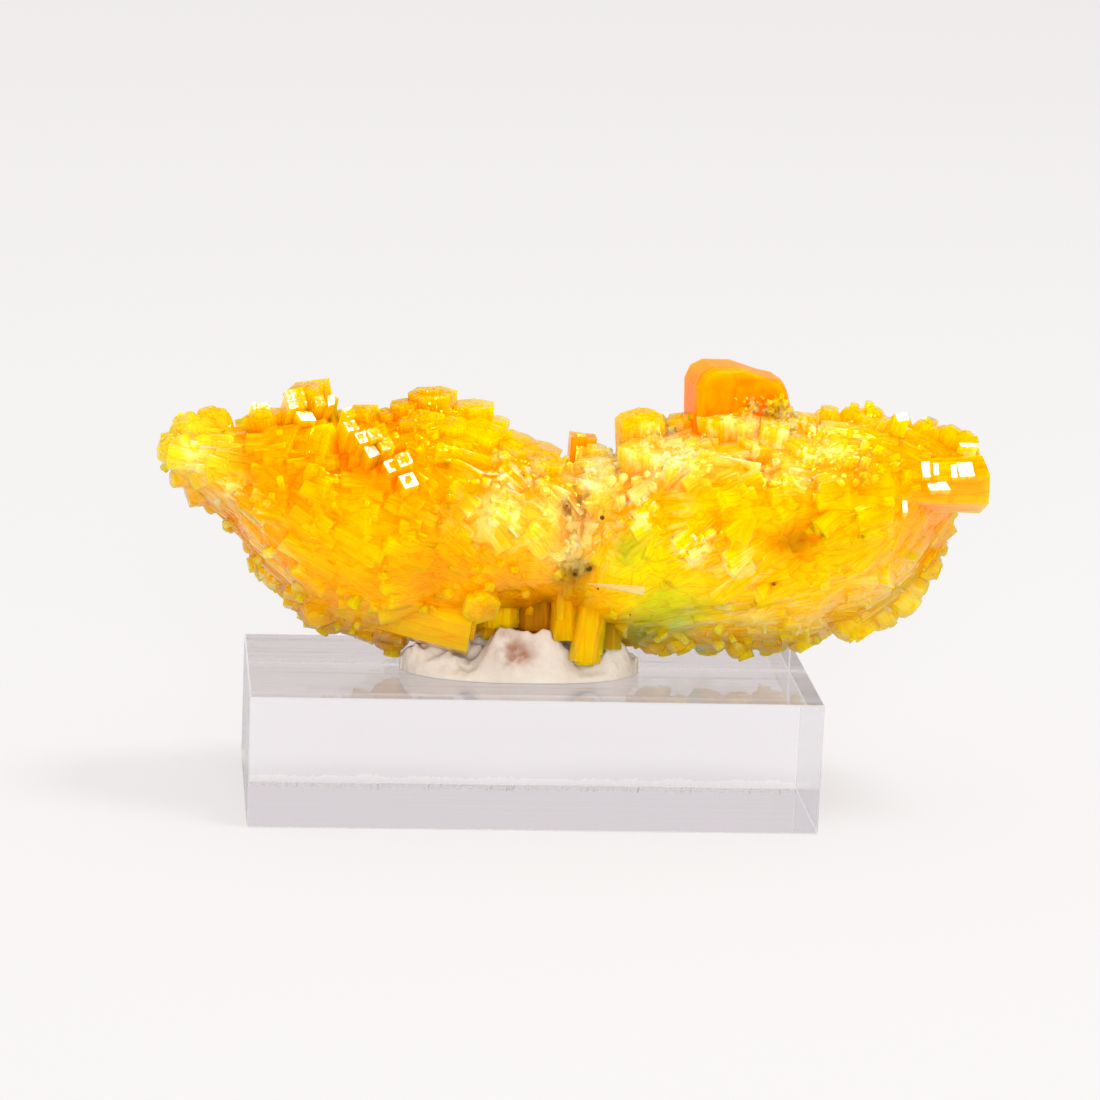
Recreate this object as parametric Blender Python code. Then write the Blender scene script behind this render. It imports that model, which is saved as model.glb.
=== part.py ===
"""A mimetite crystal cluster held by a lump of tack on a clear acrylic block, in metres."""

import math
from typing import NamedTuple

import bmesh
import bpy
import numpy as np
from mathutils.bvhtree import BVHTree

MM = 0.001

# The acrylic block.
BLOCK_WIDTH = 30.0
BLOCK_DEPTH = 12.7
BLOCK_HEIGHT = 7.0
BLOCK_BEVEL = 0.18

# Clear space between pieces that rest on each other.
GAP = 0.3

# The crystals fan out from this point, low in the middle of the cluster.
GROWTH_CENTRE = np.array([2.0, 0.3, 10.5])
CORE_AROUND = 14
CORE_SQUARENESS = 2.4
CORE_FOOT_SHARE = 0.42
CORE_FULL_RISE = 0.55
CORE_SWELL = 0.8
CORE_LUMP = 0.28
CORE_LUMP_RISE = 0.5
CORE_LUMP_ALONG = (1.7, 0.9)
CORE_LUMP_ROUND = (2.3, -3.1)
CORE_BACK_FALL = 0.38
CORE_FIRST_ANGLE = 0.07
FRAME_STEP_ANGLE = 0.1
FRAME_STEP_ALONG = 0.3
ROOT_TAPER = 0.78

# The medium crystals that cover the core between the placed ones.
FILL_COUNT = 150
FILL_WIDTHS = (1.3, 2.7)
FILL_LENGTHS = (3.6, 5.0)
FILL_RISE = 0.5
FILL_CROWN_SHARE = 0.25
FILL_STEEPNESS = 0.5
FILL_SCATTER = 0.14
FOUR_SIDED_SHARE = 0.4
FILL_LEAST_RISE = 0.4
FILL_SINK = 0.25
FILL_THICKS = (0.7, 1.0)
FILL_TURNS = (0.0, 60.0)
FILL_CROWN_WIDTH = 0.75
FILL_SEED = 7
FILL_OVER_CROWN = 0.35
FILL_UNDER_FOOT = 0.1

# A point one unit further back looks this much higher in the photograph.
VIEW_RISE = 0.245

# The tack lump.
TACK_LEFT = -6.9
TACK_RIGHT = 5.8
TACK_FRONT = -3.0
TACK_BACK = 3.0
TACK_EDGE_HEIGHT = 0.5
TACK_PLAN_POWER = 2.4
TACK_LEAST_REACH = 0.12
TACK_FOOT_POWER = 5.0
TACK_STEPS_X = 28
TACK_STEPS_Y = 14
TACK_PROBE = 0.35
TACK_LEAST_THICKNESS = 0.1
TACK_BUMP_POWER = 3.0
TACK_BLEND_POWER = 3.0


# Base colours of the three materials, and how rough they are.
MIMETITE_COLOUR = (0.95, 0.62, 0.02)
MIMETITE_ROUGHNESS = 0.25
MIMETITE_IOR = 2.1
ACRYLIC_COLOUR = (0.97, 0.98, 1.0)
ACRYLIC_ROUGHNESS = 0.03
ACRYLIC_IOR = 1.49
TACK_COLOUR = (0.80, 0.70, 0.60)
TACK_ROUGHNESS = 0.75
TACK_IOR = 1.45


class Station(NamedTuple):
    """One cross section of the core: its place along X, its foot, crown, front and back."""

    x: float
    low: float
    high: float
    front: float
    back: float


class Hollow(NamedTuple):
    """A dent in the core's front: its place, radius and depth."""

    x: float
    z: float
    radius: float
    depth: float


class Bump(NamedTuple):
    """A rise of the tack lump: its place, its reach along X and Y, and its height."""

    x: float
    y: float
    reach_x: float
    reach_y: float
    height: float


class Crystal(NamedTuple):
    """One prism: the middle of its end face, its axis, length, width, thickness share and turn."""

    tip: tuple
    axis: tuple
    length: float
    width: float
    thick: float = 1.0
    turn: float = 0.0
    sides: int = 6


CORE = (
    Station(-19.5, 18.0, 19.5, -1.0, 1.0),
    Station(-18.0, 16.5, 20.0, -2.4, 2.2),
    Station(-16.0, 14.9, 19.7, -3.6, 3.2),
    Station(-14.0, 12.1, 20.3, -4.6, 4.2),
    Station(-12.0, 9.9, 20.9, -5.3, 5.0),
    Station(-10.0, 9.2, 20.2, -5.7, 5.5),
    Station(-8.0, 8.7, 20.5, -5.9, 5.8),
    Station(-6.0, 8.9, 21.2, -5.9, 6.0),
    Station(-4.0, 9.2, 20.8, -5.7, 6.0),
    Station(-2.0, 10.5, 19.8, -5.3, 5.8),
    Station(0.0, 10.7, 18.7, -4.8, 5.4),
    Station(2.0, 10.4, 18.2, -4.4, 5.0),
    Station(4.0, 9.0, 18.8, -4.7, 5.0),
    Station(6.0, 8.7, 20.0, -5.3, 5.4),
    Station(8.0, 8.8, 20.6, -5.7, 5.8),
    Station(10.0, 8.7, 20.7, -6.0, 6.0),
    Station(12.0, 8.7, 20.6, -6.2, 6.2),
    Station(14.0, 8.9, 20.6, -6.2, 6.2),
    Station(16.0, 9.8, 21.0, -6.0, 6.0),
    Station(18.0, 10.2, 21.1, -5.4, 5.4),
    Station(20.0, 11.8, 20.4, -3.4, 4.0),
    Station(21.4, 13.4, 19.8, -2.2, 2.6),
    Station(22.5, 16.4, 19.2, -1.5, 1.5),
)

HOLLOWS = (
    Hollow(11.4, 19.4, 1.3, 1.2),
    Hollow(13.4, 15.6, 1.8, 2.0),
    Hollow(2.4, 14.6, 2.6, 1.2),
    Hollow(-5.4, 12.6, 1.6, 1.0),
)

LEFT_WING = (
    Crystal((-19.9, -0.4, 18.8), (-1.0, -0.1, 0.12), 5.0, 1.9, 0.9, 10),
    Crystal((-19.1, -0.8, 17.5), (-1.0, -0.2, -0.1), 4.5, 1.9, 1.0, 25),
    Crystal((-18.6, -1.2, 20.2), (-0.7, -0.3, 0.6), 4.0, 2.2, 0.8, 5),
    Crystal((-17.2, -0.4, 20.85), (-0.3, 0.0, 1.0), 3.5, 1.8, 0.8, 15),
    Crystal((-18.5, -0.9, 16.6), (-1.0, -0.2, -0.2), 4.5, 2.1, 0.8, 0),
    Crystal((-17.3, 0.4, 15.6), (-0.8, 0.2, -0.5), 4.0, 1.5, 0.9, 20),
    Crystal((-16.2, -0.8, 14.9), (-0.9, -0.3, -0.4), 4.5, 2.0, 0.8, 12, 4),
    Crystal((-15.4, -0.6, 13.6), (-1.0, -0.1, -0.1), 3.0, 0.9, 1.0, 0, 4),
    Crystal((-15.0, -0.5, 12.7), (-1.0, -0.1, -0.2), 4.0, 1.5, 0.9, 30),
    Crystal((-14.4, -1.1, 12.1), (-0.9, -0.3, -0.3), 4.5, 1.9, 0.8, 8, 4),
    Crystal((-13.5, 0.3, 11.0), (-0.8, 0.2, -0.5), 4.0, 1.5, 0.9, 22),
    Crystal((-14.5, -1.4, 20.95), (-0.2, -0.15, 1.0), 3.5, 1.7, 0.8, 8, 4),
    Crystal((-12.35, -1.0, 22.35), (-0.28, -0.1, 1.0), 4.0, 1.9, 0.8, 20, 4),
    Crystal((-11.3, -0.8, 21.75), (0.1, -0.1, 1.0), 4.0, 1.2, 0.9, 0),
    Crystal((-10.3, -1.0, 20.85), (0.2, -0.2, 1.0), 3.0, 1.1, 0.9, 15, 4),
    Crystal((-9.5, -1.4, 21.25), (-0.2, -0.2, 1.0), 3.0, 1.4, 0.8, 15, 4),
    Crystal((-8.1, -0.8, 21.05), (0.0, -0.1, 1.0), 3.0, 1.1, 0.9, 0, 4),
    Crystal((-7.2, -0.8, 21.55), (-0.1, -0.1, 1.0), 3.5, 1.4, 0.9, 20),
    Crystal((-5.7, -0.4, 22.05), (-0.05, -0.1, 1.0), 4.0, 2.3, 0.8, 5),
    Crystal((-3.5, -0.4, 21.45), (0.0, -0.1, 1.0), 4.0, 2.1, 0.8, 28),
    Crystal((-2.2, -0.2, 20.65), (0.15, -0.1, 1.0), 3.5, 1.2, 0.9, 10),
    Crystal((-1.0, -0.4, 19.75), (0.3, -0.1, 1.0), 3.0, 1.8, 0.9, 0),
    Crystal((0.4, -0.4, 19.25), (0.3, -0.1, 1.0), 3.0, 1.7, 0.9, 20),
    Crystal((-3.3, -3.4, 10.1), (0.97, -0.2, -0.16), 10.0, 2.9, 0.8, 12),
    Crystal((-12.3, -1.6, 10.2), (-0.9, -0.3, -0.3), 4.5, 2.1, 0.9, 0),
    Crystal((-11.0, 0.2, 9.0), (-0.5, 0.2, -0.8), 3.5, 1.8, 0.9, 15),
    Crystal((-9.3, -0.9, 8.9), (-0.6, -0.3, -0.8), 4.0, 2.2, 0.8, 25),
    Crystal((-7.5, 0.2, 7.9), (-0.1, 0.1, -1.0), 4.0, 2.0, 0.9, 5),
)

LEFT_FRONT = (
    Crystal((-18.3, -3.2, 19.3), (-0.8, -0.5, 0.3), 4.5, 2.1, 0.8, 10),
    Crystal((-16.4, -3.4, 18.0), (-0.9, -0.5, 0.1), 5.0, 2.3, 0.9, 25),
    Crystal((-14.0, -4.4, 20.1), (-0.5, -0.45, 0.75), 5.0, 2.3, 0.9, 8, 4),
    Crystal((-12.4, -5.2, 20.1), (-0.45, -0.6, 0.65), 5.0, 2.5, 0.9, 12, 4),
    Crystal((-11.7, -5.9, 18.0), (-0.5, -0.8, 0.2), 4.5, 2.0, 0.9, 10, 4),
    Crystal((-10.25, -4.7, 21.8), (0.15, -0.68, 0.72), 3.5, 0.5, 1.0, 78, 4),
    Crystal((-10.15, -5.2, 21.2), (0.15, -0.68, 0.72), 3.5, 0.6, 1.0, 78, 4),
    Crystal((-9.55, -5.4, 20.65), (0.15, -0.68, 0.72), 4.0, 0.65, 1.0, 78, 4),
    Crystal((-8.95, -5.4, 20.85), (0.15, -0.68, 0.72), 4.0, 0.65, 1.0, 78, 4),
    Crystal((-8.35, -5.7, 20.4), (0.15, -0.68, 0.72), 4.0, 0.7, 1.0, 78, 4),
    Crystal((-9.05, -5.8, 20.05), (0.15, -0.68, 0.72), 4.0, 0.7, 1.0, 78, 4),
    Crystal((-7.45, -6.1, 19.7), (0.15, -0.68, 0.72), 4.0, 0.75, 1.0, 78, 4),
    Crystal((-8.05, -6.1, 19.35), (0.1, -0.74, 0.66), 4.0, 0.7, 1.0, 78, 4),
    Crystal((-7.2, -6.6, 18.7), (0.15, -0.68, 0.72), 4.0, 0.8, 1.0, 78, 4),
    Crystal((-6.4, -3.9, 21.4), (-0.15, -0.6, 0.8), 4.0, 1.7, 0.9, 5, 4),
    Crystal((-4.9, -4.0, 21.2), (0.0, -0.6, 0.8), 4.0, 1.6, 0.9, 30),
    Crystal((-3.1, -3.5, 20.8), (0.15, -0.6, 0.8), 4.5, 2.2, 0.9, 12, 4),
    Crystal((-1.4, -3.6, 20.1), (0.25, -0.6, 0.75), 4.5, 2.0, 0.9, 0),
    Crystal((0.3, -3.7, 19.3), (0.2, -0.7, 0.7), 4.0, 1.8, 0.9, 20),
    Crystal((-8.4, -5.9, 16.2), (-0.75, -0.6, 0.15), 5.5, 2.6, 0.8, 22),
    Crystal((-5.0, -5.7, 16.4), (-0.5, -0.8, 0.3), 5.0, 2.4, 0.8, 10),
    Crystal((-3.0, -5.0, 11.5), (0.1, -0.9, -0.3), 4.0, 1.8, 0.9, 0),
)

MIDDLE = (
    Crystal((2.5, 1.4, 19.5), (0.1, 0.0, 1.0), 3.0, 1.4, 0.9, 45, 4),
    Crystal((3.3, 0.3, 19.05), (0.2, -0.1, 1.0), 3.0, 1.4, 0.9, 25),
    Crystal((-1.8, -0.7, 9.5), (0.0, -0.1, -1.0), 3.5, 2.0, 0.8, 0),
    Crystal((0.3, -0.8, 9.4), (0.0, -0.1, -1.0), 3.5, 1.9, 0.8, 12),
    Crystal((-1.9, 0.2, 8.7), (-0.1, 0.0, -1.0), 3.0, 1.9, 0.9, 5),
    Crystal((0.6, 0.4, 8.6), (0.1, 0.0, -1.0), 3.0, 2.0, 0.9, 20),
    Crystal((1.6, -1.8, 9.1), (0.0, -0.2, -1.0), 3.5, 1.4, 0.9, 10),
    Crystal((2.65, -2.5, 8.1), (-0.12, -0.2, -1.0), 4.5, 1.5, 0.8, 8),
    Crystal((4.1, -2.0, 8.7), (0.0, -0.2, -1.0), 3.5, 1.0, 0.9, 20),
    Crystal((5.3, 0.4, 8.9), (0.1, 0.0, -1.0), 3.0, 1.3, 0.9, 0),
)

RIGHT_WING = (
    Crystal((5.3, -1.0, 21.2), (0.0, -0.1, 1.0), 4.0, 2.6, 0.8, 40, 4),
    Crystal((7.3, -1.0, 21.15), (-0.2, -0.1, 1.0), 3.0, 1.3, 0.9, 30, 4),
    Crystal((14.0, -0.6, 21.15), (0.1, -0.1, 1.0), 3.0, 1.8, 0.9, 0),
    Crystal((15.3, -0.4, 21.55), (0.1, -0.1, 1.0), 3.0, 1.6, 0.9, 20),
    Crystal((16.7, -0.4, 21.65), (0.15, -0.1, 1.0), 3.0, 1.6, 0.9, 5),
    Crystal((17.7, -0.4, 21.75), (0.2, -0.1, 1.0), 3.0, 1.3, 0.9, 15),
    Crystal((19.2, -0.6, 21.35), (0.25, -0.1, 1.0), 3.0, 1.3, 0.9, 0, 4),
    Crystal((20.8, -0.4, 20.95), (0.4, -0.1, 1.0), 3.0, 1.7, 0.9, 10),
    Crystal((22.0, -0.4, 20.65), (0.5, -0.1, 0.9), 3.0, 1.5, 0.9, 25, 4),
    Crystal((23.2, -0.4, 20.1), (1.0, -0.1, 0.35), 4.0, 1.3, 0.9, 0, 4),
    Crystal((23.5, -0.2, 19.3), (1.0, -0.1, 0.1), 4.0, 1.1, 0.9, 0, 4),
    Crystal((23.55, -2.6, 18.15), (1.0, 0.15, 0.0), 5.5, 2.7, 1.0, 12.4),
    Crystal((22.2, -0.4, 15.4), (1.0, -0.1, -0.1), 4.0, 1.5, 0.9, 0, 4),
    Crystal((21.6, -0.6, 14.2), (1.0, -0.1, -0.2), 4.0, 1.4, 0.9, 20),
    Crystal((21.7, -0.6, 13.0), (1.0, -0.1, -0.3), 4.0, 1.5, 0.9, 5),
    Crystal((21.0, -0.6, 11.8), (0.9, -0.1, -0.5), 4.0, 1.6, 0.9, 15),
    Crystal((20.5, -0.6, 10.8), (0.9, -0.1, -0.7), 4.0, 1.9, 0.9, 0),
    Crystal((19.2, -0.6, 9.9), (0.7, -0.1, -0.9), 3.5, 2.0, 0.9, 20),
    Crystal((17.7, -1.1, 9.5), (0.6, -0.3, -0.8), 4.0, 2.6, 0.8, 10),
    Crystal((15.8, 0.6, 9.0), (0.3, 0.2, -0.9), 4.0, 2.0, 0.9, 25),
    Crystal((14.7, -0.9, 8.6), (0.5, -0.3, -0.8), 4.0, 1.6, 0.9, 5, 4),
    Crystal((13.1, 0.5, 8.1), (0.1, 0.2, -1.0), 4.0, 2.3, 0.8, 15),
    Crystal((11.3, -0.9, 8.1), (0.35, -0.3, -0.9), 4.0, 1.5, 0.9, 0, 4),
    Crystal((9.7, 0.3, 8.1), (0.1, 0.2, -1.0), 4.0, 2.2, 0.9, 20),
    Crystal((8.2, -1.0, 8.4), (0.4, -0.3, -0.9), 4.0, 1.7, 0.9, 8, 4),
    Crystal((6.8, 0.2, 8.0), (0.2, 0.1, -1.0), 4.0, 1.9, 0.9, 28),
)

RIGHT_FRONT = (
    Crystal((5.6, -3.7, 20.1), (0.0, -0.7, 0.7), 4.5, 2.5, 0.9, 5, 4),
    Crystal((8.0, -4.1, 20.0), (0.1, -0.8, 0.6), 4.5, 2.2, 0.9, 12),
    Crystal((11.3, -4.0, 20.7), (0.2, -0.7, 0.7), 4.5, 2.4, 0.9, 25),
    Crystal((13.8, -4.4, 20.4), (0.3, -0.7, 0.6), 4.5, 2.1, 0.9, 5, 4),
    Crystal((8.9, -3.6, 21.8), (-0.1, -0.55, 0.8), 3.5, 1.7, 0.9, 8),
    Crystal((10.4, -3.6, 21.7), (0.0, -0.6, 0.8), 3.5, 1.8, 0.9, 22),
    Crystal((12.0, -3.5, 21.4), (0.1, -0.6, 0.8), 3.5, 1.5, 0.9, 40, 4),
    Crystal((12.2, -5.0, 17.7), (0.75, -0.3, 0.4), 5.0, 2.9, 0.9, 10),
    Crystal((18.6, -4.4, 18.7), (0.75, -0.45, 0.4), 6.0, 2.9, 0.9, 18),
    Crystal((20.4, -3.4, 16.4), (0.9, -0.4, 0.15), 6.0, 2.8, 0.8, 0),
    Crystal((18.6, -4.9, 14.4), (0.9, -0.4, 0.0), 6.0, 2.6, 0.8, 12),
)

# The orange tabular crystal: its outline in its own plane, its place, thickness and turn about Z.
TABLET_OUTLINE = (
    (-2.55, -2.6),
    (-2.65, 0.3),
    (-2.35, 1.0),
    (-1.7, 1.32),
    (-0.2, 1.28),
    (1.35, 0.75),
    (2.05, 0.6),
    (2.35, 0.1),
    (2.6, -0.8),
    (2.3, -2.6),
)
TABLET_CENTRE = (10.3, -0.9, 22.75)
TABLET_THICKNESS = 3.2
TABLET_TURN = 9.0
# Rings of the tablet from front to back: place as a share of the thickness, size as a share.
TABLET_RINGS = ((-0.5, 0.93), (-0.38, 1.0), (0.38, 1.0), (0.5, 0.93))

# Left lobe, front hump, right lobe and the broad mound behind them that the crystals press on.
TACK_BUMPS = (
    Bump(-5.3, -0.9, 1.5, 1.5, 1.1),
    Bump(-1.3, -2.3, 1.6, 1.2, 3.0),
    Bump(0.6, -2.1, 1.5, 1.2, 2.3),
    Bump(4.4, -1.2, 1.1, 1.3, 1.2),
    Bump(-0.5, 1.1, 4.6, 1.9, 1.7),
)


def clear_scene():
    for old in list(bpy.data.objects):
        bpy.data.objects.remove(old, do_unlink=True)


def unit(vector):
    return np.asarray(vector, float) / np.linalg.norm(vector)


def principled(name, colour, roughness, ior, transmission=0.0):
    material = bpy.data.materials.new(name)
    material.use_nodes = True
    shader = material.node_tree.nodes["Principled BSDF"]
    shader.inputs["Base Color"].default_value = (*colour, 1.0)
    shader.inputs["Roughness"].default_value = roughness
    shader.inputs["IOR"].default_value = ior
    shader.inputs["Transmission Weight"].default_value = transmission
    return material


def mesh_object(name, points, faces):
    """An object at the origin from points in millimetres, its faces turned outwards."""
    mesh = bpy.data.meshes.new(name)
    mesh.from_pydata([tuple(point) for point in np.asarray(points) * MM], [], faces)
    shape = bmesh.new()
    shape.from_mesh(mesh)
    bmesh.ops.recalc_face_normals(shape, faces=shape.faces)
    shape.to_mesh(mesh)
    shape.free()
    made = bpy.data.objects.new(name, mesh)
    bpy.context.scene.collection.objects.link(made)
    return made


def ring_faces(rings, around):
    """Quads between rings of points laid out in turn, with an end face on the first and last."""
    faces = []
    for ring in range(rings - 1):
        for side in range(around):
            following = (side + 1) % around
            low = ring * around
            high = low + around
            faces.append((low + side, low + following, high + following, high + side))
    faces.append(tuple(reversed(range(around))))
    faces.append(tuple(range((rings - 1) * around, rings * around)))
    return faces


def prism_points(crystal):
    """A narrower root ring and a flat end ring round the crystal's axis."""
    axis = unit(crystal.axis)
    side = unit(np.cross(axis, (0.0, 1.0, 0.0)))
    other = np.cross(axis, side)
    angles = np.radians(crystal.turn) + np.arange(crystal.sides) * math.tau / crystal.sides
    reach = 0.5 * crystal.width / math.cos(math.pi / crystal.sides)
    circle = np.outer(np.cos(angles), side) + crystal.thick * np.outer(np.sin(angles), other)
    tip = np.array(crystal.tip)
    root = tip - axis * crystal.length
    return np.concatenate([root + circle * reach * ROOT_TAPER, tip + circle * reach])


def prism(name, crystal):
    return mesh_object(name, prism_points(crystal), ring_faces(2, crystal.sides))


def tablet():
    """The thick orange plate: its outline carried through its thickness, with a narrower front and back."""
    outline = np.array(TABLET_OUTLINE)
    rings = []
    for depth, share in TABLET_RINGS:
        flat = outline * share
        rings.append(np.column_stack([
            flat[:, 0],
            np.full(len(flat), depth * TABLET_THICKNESS),
            flat[:, 1],
        ]))
    points = np.concatenate(rings)
    turn = math.radians(TABLET_TURN)
    spun = points @ np.array([
        [math.cos(turn), math.sin(turn), 0.0],
        [-math.sin(turn), math.cos(turn), 0.0],
        [0.0, 0.0, 1.0],
    ])
    return mesh_object("orange_tablet", spun + TABLET_CENTRE, ring_faces(len(TABLET_RINGS), len(outline)))


def core_at(along, angle):
    """Points of the core's surface at a place along X and an angle round it, zero at the crown."""
    stations = np.array(CORE)
    x = np.asarray(along, float)
    low, high, front, back = (np.interp(x, stations[:, 0], stations[:, i]) for i in (1, 2, 3, 4))
    up = np.cos(angle)
    out = np.sin(angle)
    power = 2.0 / CORE_SQUARENESS
    up = np.sign(up) * np.abs(up) ** power
    out = np.sign(out) * np.abs(out) ** power
    rise = 0.5 + 0.5 * up
    spread = CORE_FOOT_SHARE + (1.0 - CORE_FOOT_SHARE) * np.clip(rise / CORE_FULL_RISE, 0.0, 1.0)
    y = np.where(out < 0, -out * (front - CORE_SWELL), out * (back + CORE_SWELL)) * spread
    z = low + (high - low) * rise
    lump = np.full_like(z, CORE_LUMP)
    for along_rate, round_rate in zip(CORE_LUMP_ALONG, CORE_LUMP_ROUND):
        lump = lump * np.sin(along_rate * x + round_rate * angle)
    for hollow in HOLLOWS:
        away = ((x - hollow.x) ** 2 + (z - hollow.z) ** 2) / hollow.radius**2
        y = np.where(y < 0, y + hollow.depth * np.exp(-away), y)
    fall = CORE_BACK_FALL * np.maximum(y, 0.0) * rise
    return np.stack([x, y + lump * np.sign(y), z + CORE_LUMP_RISE * lump - fall], axis=-1)


def core():
    """The lumpy mass inside the cluster that every crystal grows from."""
    xs = np.array([station.x for station in CORE])
    angles = np.arange(CORE_AROUND) * math.tau / CORE_AROUND + CORE_FIRST_ANGLE
    points = core_at(np.repeat(xs, CORE_AROUND), np.tile(angles, len(xs)))
    return mesh_object("cluster_core", points, ring_faces(len(xs), CORE_AROUND))


def core_frame(along, angle):
    """A point of the core's surface and the direction straight out of it."""
    spot = core_at(along, angle)
    ahead = core_at(along, angle + FRAME_STEP_ANGLE) - spot
    side = core_at(along + FRAME_STEP_ALONG, angle) - spot
    outward = unit(np.cross(side, ahead))
    return spot, outward * np.sign(outward @ (spot - core_at(along, angle + math.pi)))


def inside_outline(crystal):
    """The same crystal, moved up or down until it keeps inside the outline seen from the front."""
    stations = np.array(CORE)
    points = prism_points(crystal)
    seen = points[:, 2] + VIEW_RISE * points[:, 1]
    low = np.interp(points[:, 0], stations[:, 0], stations[:, 1]) - FILL_UNDER_FOOT
    high = np.interp(points[:, 0], stations[:, 0], stations[:, 2]) + FILL_OVER_CROWN
    drop = max(0.0, float((seen - high).max()))
    lift = max(0.0, float((low - seen).max()))
    x, y, z = crystal.tip
    return crystal._replace(tip=(x, y, z - drop + lift))


def fill_crystals():
    """Medium crystals spread evenly over the core, lying outwards along it like a fan."""
    rng = np.random.default_rng(FILL_SEED)
    first, last = CORE[1].x, CORE[-2].x
    found = []
    for index in range(FILL_COUNT):
        along = first + (last - first) * ((index + 0.5) / FILL_COUNT)
        angle = index * math.pi * (3.0 - math.sqrt(5.0))
        spot, outward = core_frame(along, angle)
        away = spot - GROWTH_CENTRE
        flat = unit(away - (away @ outward) * outward)
        axis = unit(flat + FILL_STEEPNESS * outward + rng.normal(0.0, FILL_SCATTER, 3))
        crown = FILL_CROWN_SHARE + (1.0 - FILL_CROWN_SHARE) * abs(math.sin(angle))
        rise = FILL_RISE * crown * rng.uniform(FILL_LEAST_RISE, 1.0)
        length = rng.uniform(*FILL_LENGTHS)
        width = rng.uniform(*FILL_WIDTHS) * (FILL_CROWN_WIDTH + (1.0 - FILL_CROWN_WIDTH) * crown)
        tip = spot + outward * (rise - FILL_SINK * width)
        found.append(inside_outline(Crystal(
            tuple(tip),
            tuple(axis),
            length,
            width,
            rng.uniform(*FILL_THICKS),
            rng.uniform(*FILL_TURNS),
            4 if rng.random() < FOUR_SIDED_SHARE else 6,
        )))
    return found


def largest_shell(mesh):
    """Keeps the outer surface of a union and drops the walls of pockets sealed inside it."""
    shape = bmesh.new()
    shape.from_mesh(mesh)
    shells = []
    unseen = set(shape.verts)
    while unseen:
        todo = [unseen.pop()]
        shell = set(todo)
        while todo:
            for edge in todo.pop().link_edges:
                for vertex in edge.verts:
                    if vertex in unseen:
                        unseen.remove(vertex)
                        shell.add(vertex)
                        todo.append(vertex)
        shells.append(shell)
    keep = max(shells, key=len)
    bmesh.ops.delete(shape, geom=[v for v in shape.verts if v not in keep], context="VERTS")
    bmesh.ops.triangulate(shape, faces=shape.faces)
    shape.to_mesh(mesh)
    shape.free()


def cluster():
    """The core with every crystal joined to it in one solid."""
    body = core()
    grown = bpy.data.collections.new("crystals")
    bpy.context.scene.collection.children.link(grown)
    members = [tablet()]
    placed = LEFT_WING + LEFT_FRONT + MIDDLE + RIGHT_WING + RIGHT_FRONT + tuple(fill_crystals())
    for number, crystal in enumerate(placed):
        members.append(prism(f"crystal_{number:03d}", crystal))
    for member in members:
        bpy.context.scene.collection.objects.unlink(member)
        grown.objects.link(member)
    union = body.modifiers.new("crystals", "BOOLEAN")
    union.operation = "UNION"
    union.operand_type = "COLLECTION"
    union.collection = grown
    union.solver = "EXACT"
    graph = bpy.context.evaluated_depsgraph_get()
    joined = bpy.data.meshes.new_from_object(body.evaluated_get(graph))
    largest_shell(joined)
    for helper in [body, *members]:
        bpy.data.objects.remove(helper, do_unlink=True)
    bpy.data.collections.remove(grown)
    made = bpy.data.objects.new("mimetite_cluster", joined)
    bpy.context.scene.collection.objects.link(made)
    made.data.materials.clear()
    made.data.materials.append(principled("mimetite", MIMETITE_COLOUR, MIMETITE_ROUGHNESS, MIMETITE_IOR))
    return made


def acrylic_block():
    """The block, standing on the frame's ground plane with its middle over the origin."""
    half_x = 0.5 * BLOCK_WIDTH
    half_y = 0.5 * BLOCK_DEPTH
    plan = [(-half_x, -half_y), (half_x, -half_y), (half_x, half_y), (-half_x, half_y)]
    points = [(x, y, z) for z in (0.0, BLOCK_HEIGHT) for x, y in plan]
    made = mesh_object("acrylic_base", points, ring_faces(2, 4))
    bevel = made.modifiers.new("edges", "BEVEL")
    bevel.width = BLOCK_BEVEL * MM
    bevel.segments = 1
    material = principled("acrylic", ACRYLIC_COLOUR, ACRYLIC_ROUGHNESS, ACRYLIC_IOR, 1.0)
    made.data.materials.append(material)
    return made


def underside_limit(tree, x, y):
    """The lowest point of the cluster near one place, seen from the block's top."""
    lowest = math.inf
    for step_x in (-TACK_PROBE, 0.0, TACK_PROBE):
        for step_y in (-TACK_PROBE, 0.0, TACK_PROBE):
            start = ((x + step_x) * MM, (y + step_y) * MM, BLOCK_HEIGHT * MM)
            hit = tree.ray_cast(start, (0.0, 0.0, 1.0))[0]
            if hit is not None:
                lowest = min(lowest, hit.z / MM)
    return lowest


def tack_height(x, y, across):
    """Height of the lump over the block: a smooth maximum of its bumps, none at its foot."""
    total = 0.0
    for bump in TACK_BUMPS:
        along = abs((x - bump.x) / bump.reach_x) ** TACK_BUMP_POWER
        rise = bump.height * math.exp(-along - ((y - bump.y) / bump.reach_y) ** 2)
        total += rise**TACK_BLEND_POWER
    highest = total ** (1.0 / TACK_BLEND_POWER)
    return TACK_EDGE_HEIGHT + highest * (1.0 - abs(across) ** TACK_FOOT_POWER)


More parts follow.
